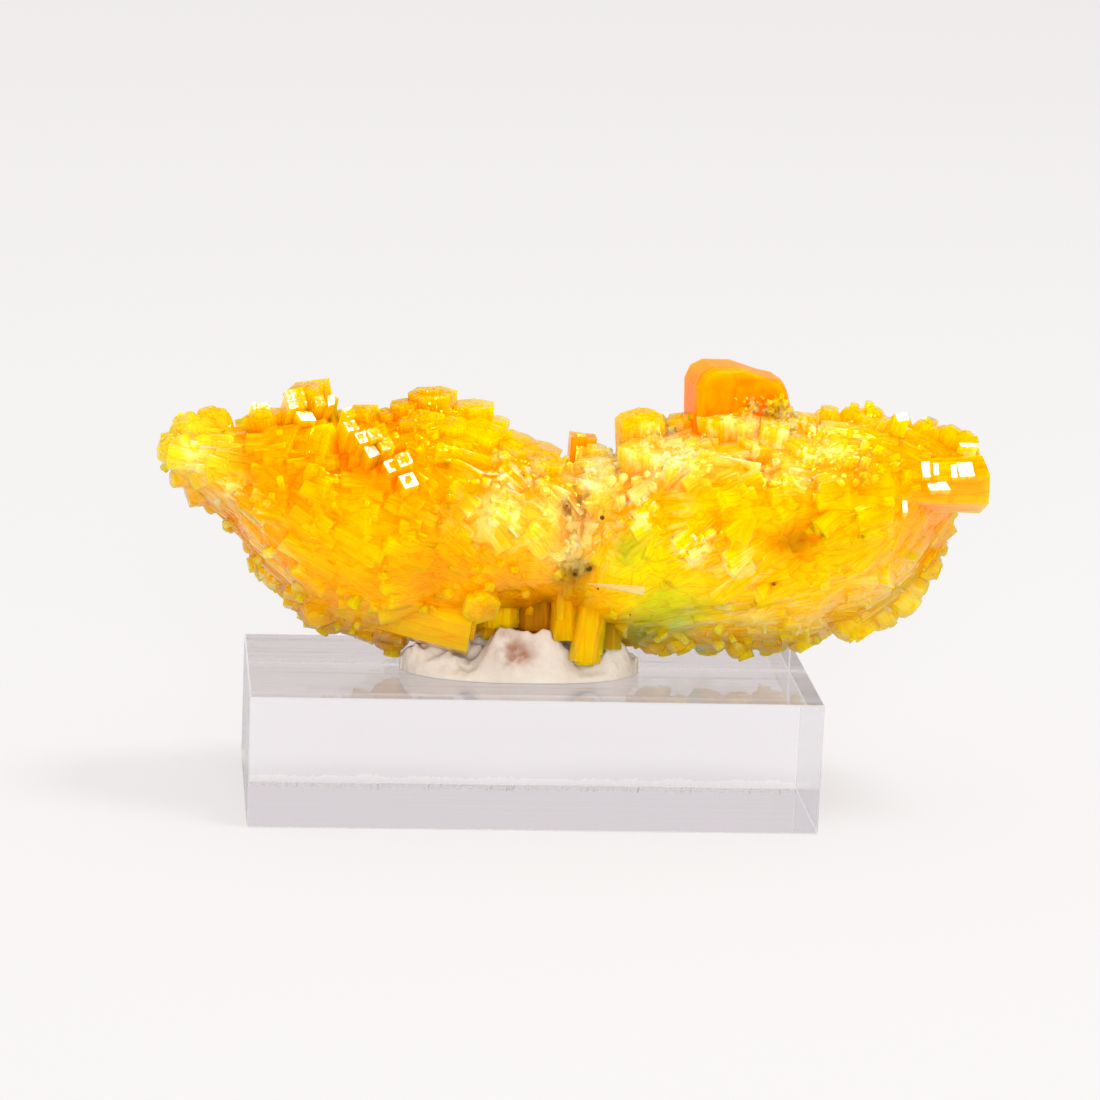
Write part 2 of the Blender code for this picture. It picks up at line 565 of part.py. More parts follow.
def tack(cluster_made):
    """The putty lump: a plan like a stretched disc, its top pressed down clear of the crystals."""
    graph = bpy.context.evaluated_depsgraph_get()
    tree = BVHTree.FromObject(cluster_made, graph)
    base = BLOCK_HEIGHT + GAP
    middle = 0.5 * (TACK_LEFT + TACK_RIGHT)
    half = 0.5 * (TACK_RIGHT - TACK_LEFT)
    top = []
    bottom = []
    for i in range(TACK_STEPS_X + 1):
        x = middle - half * math.cos(math.pi * i / TACK_STEPS_X)
        reach = max(TACK_LEAST_REACH, 1.0 - abs((x - middle) / half) ** TACK_PLAN_POWER) ** 0.5
        for j in range(TACK_STEPS_Y + 1):
            across = -math.cos(math.pi * j / TACK_STEPS_Y)
            y = reach * (-TACK_FRONT if across < 0 else TACK_BACK) * across
            height = BLOCK_HEIGHT + tack_height(x, y, across)
            limit = underside_limit(tree, x, y) - GAP
            top.append((x, y, max(base + TACK_LEAST_THICKNESS, min(height, limit))))
            bottom.append((x, y, base))
    rows = TACK_STEPS_X + 1
    columns = TACK_STEPS_Y + 1
    return mesh_object("mineral_tack", top + bottom, sheet_faces(rows, columns))


def sheet_faces(rows, columns):
    """Faces of an upper and a lower sheet of points, joined round their rim."""
    lower = rows * columns
    faces = []
    for i in range(rows - 1):
        for j in range(columns - 1):
            corner = i * columns + j
            quad = (corner, corner + columns, corner + columns + 1, corner + 1)
            faces.append(quad)
            faces.append(tuple(lower + place for place in reversed(quad)))
    rim = list(range(columns))
    rim += [i * columns + columns - 1 for i in range(1, rows)]
    rim += [(rows - 1) * columns + j for j in range(columns - 2, -1, -1)]
    rim += [i * columns for i in range(rows - 2, 0, -1)]
    for place, following in zip(rim, rim[1:] + rim[:1]):
        faces.append((place, following, lower + following, lower + place))
    return faces


def main():
    clear_scene()
    acrylic_block()
    made = cluster()
    lump = tack(made)
    lump.data.materials.append(principled("tack", TACK_COLOUR, TACK_ROUGHNESS, TACK_IOR))


main()
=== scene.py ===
"""Looks of a mimetite crystal cluster held by tack on a clear acrylic block.

Lengths in the tables are millimetres, and each mesh is written in metres.
"""

import logging
import math
from collections.abc import Callable, Sequence
from dataclasses import dataclass, field, replace
from enum import Enum

import bmesh
import bpy
import numpy as np
from bpy.types import ID, Material, Mesh, Node, NodeSocket, Object
from mathutils import Matrix
from mathutils.bvhtree import BVHTree


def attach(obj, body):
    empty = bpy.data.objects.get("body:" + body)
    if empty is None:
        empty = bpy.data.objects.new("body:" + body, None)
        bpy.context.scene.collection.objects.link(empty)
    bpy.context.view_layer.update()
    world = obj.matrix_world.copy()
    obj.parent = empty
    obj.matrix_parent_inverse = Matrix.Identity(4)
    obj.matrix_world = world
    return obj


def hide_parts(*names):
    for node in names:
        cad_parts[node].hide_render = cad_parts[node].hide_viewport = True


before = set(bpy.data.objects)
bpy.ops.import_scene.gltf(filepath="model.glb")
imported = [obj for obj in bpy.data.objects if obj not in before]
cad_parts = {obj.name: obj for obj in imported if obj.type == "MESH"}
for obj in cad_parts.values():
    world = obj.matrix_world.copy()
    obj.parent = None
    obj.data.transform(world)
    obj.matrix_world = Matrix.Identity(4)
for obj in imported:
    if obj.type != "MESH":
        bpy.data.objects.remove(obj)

Pair = tuple[float, float]
Triple = tuple[float, float, float]
Face = tuple[int, ...]
Input = NodeSocket | float | tuple[float, ...]
Inputs = dict[str | int, Input]

LOG = logging.getLogger("mimetite")
MM = 0.001
GROWTH_CENTRE = np.array([2.0, 0.3, 10.5])
VIEW_RISE = 0.245
VIEW_SLIDE = 0.1
BLOCK_TOP = 7.0
LAMP_PLACE = (100.0, -50.0, 370.0)
CAMERA_PLACE = (-22.2, -230.5, 70.4)
GRAIN_SCALE = np.array([0.5, 5.0, 5.0])


def unit(vector: Sequence[float]) -> np.ndarray:
    """The same direction at length one."""
    return np.asarray(vector, float) / np.linalg.norm(vector)


def mirror_axis(place: Sequence[float]) -> np.ndarray:
    """Direction of a flat face that mirrors the lamp to the camera: halfway between the two."""
    spot = np.asarray(place, float)
    return unit(unit(np.array(LAMP_PLACE) - spot) + unit(np.array(CAMERA_PLACE) - spot))


def linear(colour: Sequence[float]) -> np.ndarray:
    """Display colours of 0 to 255 as scene-linear values.

    Args:
        colour: One or more red, green and blue triples.

    Returns:
        The sRGB decoding: a short straight part, then a power of 2.4.
    """
    share = np.asarray(colour, float) / 255.0
    return np.where(share <= 0.04045, share / 12.92, ((share + 0.055) / 1.055) ** 2.4)


def rgba(colour: Triple) -> tuple[float, ...]:
    """A display colour as a node takes it."""
    return (*linear(colour), 1.0)


def ring_faces(rings: int, around: int) -> list[Face]:
    """Quads between rings of points laid out in turn, with an end face on the first and last.

    Args:
        rings: Number of rings.
        around: Points of each ring.

    Returns:
        The faces, all turned outwards.
    """
    low = np.arange(rings - 1)[:, None] * around + np.arange(around)
    following = np.arange(rings - 1)[:, None] * around + (np.arange(around) + 1) % around
    quads = np.stack([low, following, following + around, low + around], axis=-1).reshape(-1, 4)
    last = (rings - 1) * around
    ends = [tuple(reversed(range(around))), tuple(range(last, last + around))]
    return [tuple(quad) for quad in quads.tolist()] + ends


def grid_faces(rows: int, columns: int) -> np.ndarray:
    """Quads of a sheet of points laid out row by row."""
    corner = (np.arange(rows - 1)[:, None] * columns + np.arange(columns - 1)).reshape(-1)
    return np.stack([corner, corner + columns, corner + columns + 1, corner + 1], axis=-1)


def with_bmesh(mesh: Mesh, change: Callable[..., object]) -> None:
    """Runs one change on all faces of a mesh.

    Args:
        mesh: The mesh.
        change: The operator, which takes a bmesh and its faces.
    """
    shape = bmesh.new()
    shape.from_mesh(mesh)
    change(shape, faces=shape.faces)
    shape.to_mesh(mesh)
    shape.free()


def link(name: str, data: ID) -> Object:
    """Puts a new object into the scene.

    Args:
        name: Its name.
        data: Its mesh, light or camera.

    Returns:
        The object.
    """
    made = bpy.data.objects.new(name, data)
    bpy.context.scene.collection.objects.link(made)
    return made


def new_object(
    name: str, points: np.ndarray, faces: Sequence[Face], smooth: bool = False, turned: bool = True
) -> Object:
    """Makes an object at the origin.

    Args:
        name: Name of the object and of its mesh.
        points: Corners in millimetres, one row each.
        faces: Corner numbers of each face.
        smooth: Whether the faces shade as one rounded surface.
        turned: Whether the faces already turn outwards.

    Returns:
        The object, linked to the scene.
    """
    mesh = bpy.data.meshes.new(name)
    mesh.from_pydata((np.asarray(points) * MM).tolist(), [], faces)
    if not turned:
        with_bmesh(mesh, bmesh.ops.recalc_face_normals)
    mesh.polygons.foreach_set("use_smooth", [smooth] * len(mesh.polygons))
    return link(name, mesh)


def write_attribute(mesh: Mesh, name: str, kind: str, domain: str, values: np.ndarray) -> None:
    """Stores one value per point, face or corner on a mesh.

    Args:
        mesh: The mesh.
        name: Name that materials read it by.
        kind: Data type of the attribute.
        domain: Where it is stored.
        values: The values, one row each.
    """
    made = mesh.attributes.new(name, kind, domain)
    key = {"FLOAT": "value", "FLOAT_COLOR": "color", "FLOAT_VECTOR": "vector"}[kind]
    made.data.foreach_set(key, np.ascontiguousarray(values, np.float32).reshape(-1))


def read_points(mesh: Mesh) -> np.ndarray:
    """The corners of a mesh.

    Args:
        mesh: The mesh.

    Returns:
        Their places in millimetres, one row each.
    """
    points = np.empty(len(mesh.vertices) * 3)
    mesh.vertices.foreach_get("co", points)
    return points.reshape(-1, 3) / MM


def loop_points(mesh: Mesh) -> np.ndarray:
    """The place of every face corner of a mesh.

    Args:
        mesh: The mesh.

    Returns:
        The places in millimetres, one row each.
    """
    corners = np.empty(len(mesh.loops), np.int64)
    mesh.loops.foreach_get("vertex_index", corners)
    return read_points(mesh)[corners]


class Ending(Enum):
    """How the free end of a crystal is closed: distance back and radius, as shares of width and radius."""

    FLAT = ((0.0, 1.0),)
    BEVELLED = ((0.12, 1.0), (0.0, 0.8))
    DOMED = ((0.5, 1.0), (0.24, 0.92), (0.07, 0.72), (0.0, 0.42))


@dataclass(frozen=True)
class Crystal:
    """One prism of the cluster.

    Attributes:
        tip: Middle of its end face.
        axis: Direction in which it grew.
        length: From root to tip.
        width: Across its flats.
        thick: Thickness as a share of width.
        turn: Turn about its axis in degrees.
        sides: Number of side faces.
        ending: Shape of its free end.
        taper: Width at the root as a share of width.
        colour: Its own display colour.
        colour_share: How much of its own colour shows over the colour of its place.
        clear: Which finish it gets: above a half the glint's, below minus a half the tablet's.
        kept: Whether it stays as it is where others are worn.
    """

    tip: Triple
    axis: Triple
    length: float
    width: float
    thick: float = 1.0
    turn: float = 0.0
    sides: int = 6
    ending: Ending = Ending.FLAT
    taper: float = 0.78
    colour: Triple = (255.0, 190.0, 0.0)
    colour_share: float = 0.0
    clear: float = 0.0
    kept: bool = False

    def basis(self) -> tuple[np.ndarray, np.ndarray, np.ndarray]:
        """The crystal's own directions.

        Returns:
            The axis and two directions across it, all at right angles.
        """
        axis = unit(self.axis)
        side = unit(np.cross(axis, (0.0, 1.0, 0.0)))
        return axis, side, np.cross(axis, side)

    def points(self) -> np.ndarray:
        """A polygon carried along the axis.

        Returns:
            The points of a narrower root ring, then those of the rings of the ending.
        """
        axis, side, other = self.basis()
        angles = math.radians(self.turn) + np.arange(self.sides) * math.tau / self.sides
        reach = 0.5 * self.width / math.cos(math.pi / self.sides)
        circle = np.outer(np.cos(angles), side) + self.thick * np.outer(np.sin(angles), other)
        rings = [(self.length, self.taper)]
        rings += [(back * self.width, share) for back, share in self.ending.value]
        tip = np.array(self.tip)
        return np.concatenate([tip - axis * back + circle * reach * share for back, share in rings])

    def build(self, name: str, warmth: float) -> Object:
        """Makes the prism as an object of its own, with its looks stored on it.

        Args:
            name: Name of the object.
            warmth: From minus one to one, how far its colour leans to orange.

        Returns:
            The object.
        """
        rings = 1 + len(self.ending.value)
        made = new_object(name, self.points(), ring_faces(rings, self.sides))
        grain = (loop_points(made.data) - self.tip) @ np.array(self.basis()).T
        store_looks(made.data, grain * GRAIN_SCALE + 9.0 * warmth, warmth, self)
        return made


def square_or_six(rng: np.random.Generator, share: float) -> int:
    """Four sides for a share of the crystals and six for the rest."""
    return 4 if rng.random() < share else 6


def bevelled_or_flat(rng: np.random.Generator, share: float) -> Ending:
    """A bevelled end for a share of the crystals and a flat one for the rest."""
    return Ending.BEVELLED if rng.random() < share else Ending.FLAT


def store_looks(mesh: Mesh, grain: np.ndarray, warmth: float | np.ndarray, like: Crystal) -> None:
    """Stores what the finish reads on a piece of the cluster.

    Args:
        mesh: Mesh of the piece.
        grain: Place of each face corner in the crystal's own frame, along its axis first.
        warmth: Lean of the colour to orange, one value or one for each face.
        like: Crystal whose colour and clearness the piece has.
    """
    count = len(mesh.polygons)
    own = np.tile([*linear(like.colour), like.colour_share], (count, 1))
    write_attribute(mesh, "grain", "FLOAT_VECTOR", "CORNER", grain)
    write_attribute(mesh, "warmth", "FLOAT", "FACE", np.full(count, 1.0) * warmth)
    write_attribute(mesh, "clear", "FLOAT", "FACE", np.full(count, like.clear))
    write_attribute(mesh, "own", "FLOAT_COLOR", "FACE", own)


@dataclass(frozen=True)
class Station:
    """One cross section of the core: its place along X, its foot, crown, front and back."""

    x: float
    low: float
    high: float
    front: float
    back: float


@dataclass(frozen=True)
class Hollow:
    """A dent in the core's front: its place, radius and depth."""

    x: float
    z: float
    radius: float
    depth: float


@dataclass(frozen=True)
class Bump:
    """A rise of the tack lump: its place, its reach along X and Y, and its height."""

    x: float
    y: float
    reach_x: float
    reach_y: float
    height: float


class Recipe:
    """A new node material, with short ways to add to it."""

    def __init__(self, name: str) -> None:
        """Starts the material with its Principled shader.

        Args:
            name: Its name.
        """
        self.material = bpy.data.materials.new(name)
        self.material.use_nodes = True
        self.tree = self.material.node_tree

    def feed(self, node: Node, inputs: Inputs) -> None:
        """Links each socket given, and sets each value given.

        Args:
            node: The node that gets them.
            inputs: A socket or a value for each of its inputs, by name or number.
        """
        for key, value in inputs.items():
            if isinstance(value, NodeSocket):
                self.tree.links.new(value, node.inputs[key])
            else:
                node.inputs[key].default_value = value

    def node(self, kind: str, output: str, inputs: Inputs, **settings: str) -> NodeSocket:
        """Adds a node.

        Args:
            kind: Its type, without the words ShaderNode.
            output: Name of the output that is wanted.
            inputs: What its inputs get.
            **settings: Its other properties.

        Returns:
            The output.
        """
        made = self.tree.nodes.new("ShaderNode" + kind)
        for setting, value in settings.items():
            setattr(made, setting, value)
        self.feed(made, inputs)
        return made.outputs[output]

    def finish(self, inputs: Inputs) -> Material:
        """Feeds the Principled shader and hands over the material."""
        self.feed(self.tree.nodes["Principled BSDF"], inputs)
        return self.material

    def place(self) -> NodeSocket:
        """Object coordinates, in metres."""
        return self.node("TexCoord", "Object", {})

    def attribute(self, name: str, output: str = "Fac") -> NodeSocket:
        """What is stored on the mesh under a name."""
        return self.node("Attribute", output, {}, attribute_name=name)

    def noise(self, vector: NodeSocket, scale: float, detail: float) -> NodeSocket:
        """Noise read at a vector, with so many features per unit and so many octaves."""
        return self.node("TexNoise", "Fac", {"Vector": vector, "Scale": scale, "Detail": detail})

    def ramp(self, value: NodeSocket, before: Pair, after: Pair) -> NodeSocket:
        """A value carried from one range to another and held at its ends."""
        ends = {"From Min": before[0], "From Max": before[1], "To Min": after[0], "To Max": after[1]}
        return self.node("MapRange", "Result", {"Value": value, **ends})

    def math(self, operation: str, first: Input, second: Input) -> NodeSocket:
        """A calculation with two values."""
        return self.node("Math", "Value", {0: first, 1: second}, operation=operation)

    def product(self, first: Input, second: Input) -> NodeSocket:
        """Two values multiplied."""
        return self.math("MULTIPLY", first, second)

    def vector(self, operation: str, inputs: Inputs) -> NodeSocket:
        """A calculation with vectors."""
        return self.node("VectorMath", "Vector", inputs, operation=operation)

    def mix(self, share: Input, first: Input, second: Input, kind: str = "RGBA") -> NodeSocket:
        """The first colour or vector, with a share of the second."""
        return self.node("Mix", "Result", {"Factor": share, "A": first, "B": second}, data_type=kind)

    def bump(self, height: NodeSocket, depth: float, **more: Input) -> NodeSocket:
        """The normal of a relief of that depth in metres."""
        return self.node("Bump", "Normal", {"Height": height, "Distance": depth, **more})


@dataclass(frozen=True)
class MimetiteFinish:
    """Resinous, see-into crystal: colour by place, pale veils, growth lines and glitter.

    Attributes:
        name: Name of the material.
        ior: Index of refraction.
        polish: Roughness of bare crystal.
        blend: How far its facets shade like the smooth body.
        frost_roughness: Roughness under veils and on crystals of their own colour.
        scatter_reach: How far light wanders inside, in metres.
        scatter_radius: The same for red, green and blue, as shares.
        clearness: Share of light that passes straight through.
        line_depth: Depth of the growth lines, in metres.
        line_strength: How strongly they shade.
        veil_colour: Colour of the pale veils.
        gloss_tint: Tint of its reflections.
        glitter_scale: Glittering cells per metre.
        seam_scale: Seams per unit of the grain.
    """

    name: str = "mimetite"
    ior: float = 1.65
    polish: float = 0.12
    blend: float = 0.52
    frost_roughness: float = 0.3
    scatter_reach: float = 0.004
    scatter_radius: Triple = (1.0, 1.0, 0.4)
    clearness: float = 0.12
    line_depth: float = 0.00004
    line_strength: float = 0.6
    veil_colour: Triple = (252.0, 226.0, 128.0)
    gloss_tint: Triple = (255.0, 232.0, 40.0)
    glitter_scale: float = 6000.0
    seam_scale: float = 0.42

    def material(self) -> Material:
        """Builds the material from what is stored on the cluster.

        Returns:
            The material.
        """
        recipe = Recipe(self.name)
        frost = recipe.attribute("frost")
        rough = recipe.ramp(frost, (0.0, 1.0), (self.polish, self.frost_roughness))
        satin = recipe.ramp(recipe.attribute("own", "Alpha"), (0.5, 1.0), (0.0, self.frost_roughness))
        return recipe.finish({
            "Base Color": self.colour(recipe, frost),
            "Roughness": recipe.math("MAXIMUM", rough, satin),
            "Normal": self.relief(recipe),
            "IOR": self.ior,
            "Specular Tint": rgba(self.gloss_tint),
            "Subsurface Weight": 1.0,
            "Subsurface Radius": self.scatter_radius,
            "Subsurface Scale": self.scatter_reach,
            "Transmission Weight": self.clearness,
        })

    def colour(self, recipe: Recipe, frost: NodeSocket) -> NodeSocket:
        """Place colour or the crystal's own, its green share varied by warmth, clouds and lines, under veils.

        Args:
            recipe: The material so far.
            frost: Share of veils.

        Returns:
            The colour.
        """
        place = recipe.place()
        grain = recipe.attribute("grain", "Vector")
        own_share = recipe.attribute("own", "Alpha")
        base = recipe.mix(own_share, recipe.attribute("tint", "Color"), recipe.attribute("own", "Color"))
        clouds = recipe.ramp(recipe.noise(place, 600.0, 4.0), (0.3, 0.7), (0.92, 1.06))
        warmth = recipe.ramp(recipe.attribute("warmth"), (-1.0, 1.0), (1.04, 0.95))
        lines = recipe.ramp(recipe.noise(grain, 1.8, 3.0), (0.34, 0.5), (0.88, 1.02))
        cells = {"Vector": grain, "Scale": self.seam_scale}
        edges = recipe.node("TexVoronoi", "Distance", cells, feature="DISTANCE_TO_EDGE")
        seams = recipe.ramp(edges, (0.0, 0.07), (0.74, 1.0))
        shade = recipe.product(recipe.product(clouds, warmth), recipe.product(lines, seams))
        names = ("Red", "Green", "Blue")
        parts = {name: recipe.node("SeparateColor", name, {"Color": base}) for name in names}
        parts["Green"] = recipe.product(parts["Green"], shade)
        body = recipe.node("CombineColor", "Color", parts)
        large = recipe.product(recipe.noise(place, 800.0, 5.0), 0.5)
        streaked = recipe.product(recipe.noise(grain, 0.5, 4.0), 0.5)
        veils = recipe.ramp(recipe.math("ADD", large, streaked), (0.48, 0.56), (0.0, 0.95))
        bare = recipe.ramp(own_share, (0.0, 0.5), (1.0, 0.0))
        return recipe.mix(recipe.product(recipe.product(veils, frost), bare), body, rgba(self.veil_colour))

    def relief(self, recipe: Recipe) -> NodeSocket:
        """Tilts small cells of the surface where it glitters, then adds growth lines along the grain.

        Args:
            recipe: The material so far.

        Returns:
            The normal.
        """
        own_share = recipe.attribute("own", "Alpha")
        cells = recipe.node("TexVoronoi", "Color", {"Vector": recipe.place(), "Scale": self.glitter_scale})
        centred = recipe.vector("SUBTRACT", {0: cells, 1: (0.5, 0.5, 0.5)})
        amount = recipe.product(recipe.attribute("glitter"), recipe.ramp(own_share, (0.0, 0.5), (1.0, 0.4)))
        tilt = recipe.vector("SCALE", {0: centred, "Scale": amount})
        facet = recipe.node("NewGeometry", "Normal", {})
        blend = recipe.ramp(own_share, (0.0, 0.5), (self.blend, 0.0))
        body = recipe.mix(blend, facet, recipe.attribute("outward", "Vector"), "VECTOR")
        tilted = recipe.vector("NORMALIZE", {0: recipe.vector("ADD", {0: body, 1: tilt})})
        lines = recipe.noise(recipe.attribute("grain", "Vector"), 1.0, 2.0)
        return recipe.bump(lines, self.line_depth, Strength=self.line_strength, Normal=tilted)


@dataclass(frozen=True)
class TackFinish:
    """Cream putty with faint pink-brown stains, and the same colour as painted shade in its front hollow."""

    body: Triple = (192.0, 184.0, 171.0)
    stain_and_shade: Triple = (140.0, 96.0, 74.0)
    grit_depth: float = 0.00012
    grit_strength: float = 0.8
    scatter_reach: float = 0.0008
    scatter_radius: Triple = (1.0, 0.7, 0.5)

    def material(self) -> Material:
        """Builds the putty, stained and shaded in clouds where the mesh says so.

        Returns:
            The material.
        """
        recipe = Recipe("tack")
        clouds = recipe.ramp(recipe.noise(recipe.place(), 700.0, 6.0), (0.38, 0.6), (0.0, 1.0))
        # A faint stain over the whole lump, and painted shade over the front hollow.
        share = recipe.product(clouds, recipe.attribute("stain_and_shade"))
        grit = recipe.noise(recipe.place(), 2500.0, 5.0)
        return recipe.finish({
            "Base Color": recipe.mix(share, rgba(self.body), rgba(self.stain_and_shade)),
            "Normal": recipe.bump(grit, self.grit_depth, Strength=self.grit_strength),
            "Roughness": 0.5,
            "IOR": 1.45,
            "Subsurface Weight": 0.3,
            "Subsurface Radius": self.scatter_radius,
            "Subsurface Scale": self.scatter_reach,
        })


@dataclass(frozen=True)
class AcrylicFinish:
    """Clear polished acrylic with a faintly streaked top, grey in its streaks as painted shade."""

    ior: float = 1.49
    polish: float = 0.01
    sawn_roughness: float = 0.8
    streak_scale: Triple = (12.0, 900.0, 900.0)
    streak_depth: float = 0.000012
    tint: Triple = (248.0, 246.0, 249.0)
    shade_streak_tint: Triple = (222.0, 212.0, 208.0)

    def material(self) -> Material:
        """Builds the clear material, rougher where sawn, its top streaked grey with painted shade.

        Returns:
            The material.
        """
        recipe = Recipe("acrylic")
        stretched = recipe.node("Mapping", "Vector", {"Vector": recipe.place(), "Scale": self.streak_scale})
        streaks = recipe.noise(stretched, 1.0, 4.0)
        # Painted shade: grey in the top's streaks stands in for the shaded floor seen through the top.
        share = recipe.product(recipe.attribute("shade_streaks"), recipe.ramp(streaks, (0.35, 0.6), (0.75, 1.0)))
        sawn = recipe.attribute("sawn")
        return recipe.finish({
            "Base Color": recipe.mix(share, rgba(self.tint), rgba(self.shade_streak_tint)),
            "Roughness": recipe.ramp(sawn, (0.0, 1.0), (self.polish, self.sawn_roughness)),
            "Normal": recipe.bump(streaks, self.streak_depth),
            "IOR": self.ior,
            "Transmission Weight": 1.0,
        })


@dataclass(frozen=True)
class GroundEdgeFinish:
    """The ground edges of the block, frosted, which look pale through it."""

    body: Triple = (255.0, 254.0, 254.0)
    roughness: float = 0.5
    ior: float = 1.12
    grit_depth: float = 0.00003
    grit_scale: float = 5000.0

    def material(self) -> Material:
        """Builds the frosted material, its grit a little darker in its hollows as painted shade.

        Returns:
            The material.
        """
        recipe = Recipe("ground_edge")
        grit = recipe.noise(recipe.place(), self.grit_scale, 4.0)
        shade = recipe.ramp(grit, (0.3, 0.6), (0.94, 1.0))
        return recipe.finish({
            "Base Color": recipe.vector("SCALE", {0: tuple(linear(self.body)), "Scale": shade}),
            "Normal": recipe.bump(grit, self.grit_depth),
            "Roughness": self.roughness,
            "IOR": self.ior,
            "Transmission Weight": 1.0,
        })


CORE = (
    Station(-19.5, 18.0, 19.5, -1.0, 1.0),
    Station(-18.0, 16.5, 20.0, -2.4, 2.2),
    Station(-16.0, 14.9, 19.7, -3.6, 3.2),
    Station(-14.0, 12.1, 20.3, -4.6, 4.2),
    Station(-12.0, 9.9, 20.9, -5.3, 5.0),
    Station(-10.0, 9.2, 20.2, -5.7, 5.5),
    Station(-8.0, 8.7, 20.5, -5.9, 5.8),
    Station(-6.0, 8.9, 21.2, -5.9, 6.0),
    Station(-4.0, 9.2, 20.8, -5.7, 6.0),
    Station(-2.0, 10.5, 19.8, -5.3, 5.8),
    Station(0.0, 10.7, 18.7, -4.8, 5.4),
    Station(2.0, 10.4, 18.2, -4.4, 5.0),
    Station(4.0, 9.0, 18.8, -4.7, 5.0),
    Station(6.0, 8.7, 20.0, -5.3, 5.4),
    Station(8.0, 8.8, 20.6, -5.7, 5.8),
    Station(10.0, 8.7, 20.7, -6.0, 6.0),
    Station(12.0, 8.7, 20.6, -6.2, 6.2),
    Station(14.0, 8.9, 20.6, -6.2, 6.2),
    Station(16.0, 9.8, 21.0, -6.0, 6.0),
    Station(18.0, 10.2, 21.1, -5.4, 5.4),
    Station(20.0, 11.8, 20.4, -3.4, 4.0),
    Station(21.4, 13.4, 19.8, -2.2, 2.6),
    Station(22.5, 16.4, 19.2, -1.5, 1.5),
)

HOLLOWS = (
    Hollow(11.4, 19.4, 1.3, 1.2),
    Hollow(13.4, 15.6, 1.8, 2.0),
    Hollow(2.4, 14.6, 2.6, 1.2),
    Hollow(-5.4, 12.6, 1.6, 1.0),
)

LEFT_WING = (
    Crystal((-19.9, -0.4, 18.8), (-1.0, -0.1, 0.12), 5.0, 1.9, 0.9, 10),
    Crystal((-19.1, -0.8, 17.5), (-1.0, -0.2, -0.1), 4.5, 1.9, 1.0, 25),
    Crystal((-18.6, -1.2, 20.2), (-0.7, -0.3, 0.6), 4.0, 2.2, 0.8, 5),
    Crystal((-17.2, -0.4, 20.85), (-0.3, 0.0, 1.0), 3.5, 1.8, 0.8, 15),
    Crystal((-18.5, -0.9, 16.6), (-1.0, -0.2, -0.2), 4.5, 2.1, 0.8, 0),
    Crystal((-17.3, 0.4, 15.6), (-0.8, 0.2, -0.5), 4.0, 1.5, 0.9, 20),
    Crystal((-16.2, -0.8, 14.9), (-0.9, -0.3, -0.4), 4.5, 2.0, 0.8, 12, 4),
    Crystal((-15.4, -0.6, 13.6), (-1.0, -0.1, -0.1), 3.0, 0.9, 1.0, 0, 4),
    Crystal((-15.0, -0.5, 12.7), (-1.0, -0.1, -0.2), 4.0, 1.5, 0.9, 30),
    Crystal((-14.4, -1.1, 12.1), (-0.9, -0.3, -0.3), 4.5, 1.9, 0.8, 8, 4),
    Crystal((-13.5, 0.3, 11.0), (-0.8, 0.2, -0.5), 4.0, 1.5, 0.9, 22),
    Crystal((-14.5, -1.4, 20.95), (-0.2, -0.15, 1.0), 3.5, 1.7, 0.8, 8, 4),
    Crystal((-12.35, -1.0, 22.35), (-0.28, -0.1, 1.0), 4.0, 1.9, 0.8, 20, 4),
    Crystal((-11.3, -0.8, 21.75), (0.1, -0.1, 1.0), 4.0, 1.2, 0.9, 0),
    Crystal((-10.3, -1.0, 20.85), (0.2, -0.2, 1.0), 3.0, 1.1, 0.9, 15, 4),
    Crystal((-9.5, -1.4, 21.25), (-0.2, -0.2, 1.0), 3.0, 1.4, 0.8, 15, 4),
    Crystal((-8.1, -0.8, 21.05), (0.0, -0.1, 1.0), 3.0, 1.1, 0.9, 0, 4),
    Crystal((-7.2, -0.8, 21.55), (-0.1, -0.1, 1.0), 3.5, 1.4, 0.9, 20),
    Crystal((-5.7, -0.4, 22.05), (-0.05, -0.1, 1.0), 4.0, 2.3, 0.8, 5),
    Crystal((-3.5, -0.4, 21.45), (0.0, -0.1, 1.0), 4.0, 2.1, 0.8, 28),
    Crystal((-2.2, -0.2, 20.65), (0.15, -0.1, 1.0), 3.5, 1.2, 0.9, 10),
    Crystal((-1.0, -0.4, 19.75), (0.3, -0.1, 1.0), 3.0, 1.8, 0.9, 0),
    Crystal((0.4, -0.4, 19.25), (0.3, -0.1, 1.0), 3.0, 1.7, 0.9, 20),
    Crystal((-3.3, -3.4, 10.1), (0.97, -0.2, -0.16), 10.0, 2.9, 0.8, 12),
    Crystal((-12.3, -1.6, 10.2), (-0.9, -0.3, -0.3), 4.5, 2.1, 0.9, 0),
    Crystal((-11.0, 0.2, 9.0), (-0.5, 0.2, -0.8), 3.5, 1.8, 0.9, 15),
    Crystal((-9.3, -0.9, 8.9), (-0.6, -0.3, -0.8), 4.0, 2.2, 0.8, 25),
    Crystal((-7.5, 0.2, 7.9), (-0.1, 0.1, -1.0), 4.0, 2.0, 0.9, 5),
)

STAIR_TURN = 78.0


@dataclass(frozen=True)
class Glint:
    """A prism whose flat end mirrors the lamp: its place, width, height share, turn, length and taper."""

    place: Triple
    width: float
    share: float = 1.0
    turn: float = STAIR_TURN
    length: float = 2.2
    taper: float = 0.9

    def crystal(self) -> Crystal:
        """Turns the prism halfway between the directions to the lamp and to the camera.

        Returns:
            The prism.
        """
        axis = tuple(mirror_axis(self.place))
        look = {"sides": 4, "taper": self.taper, "clear": 1.0, "kept": True}
        return Crystal(self.place, axis, self.length, self.width, self.share, self.turn, **look)


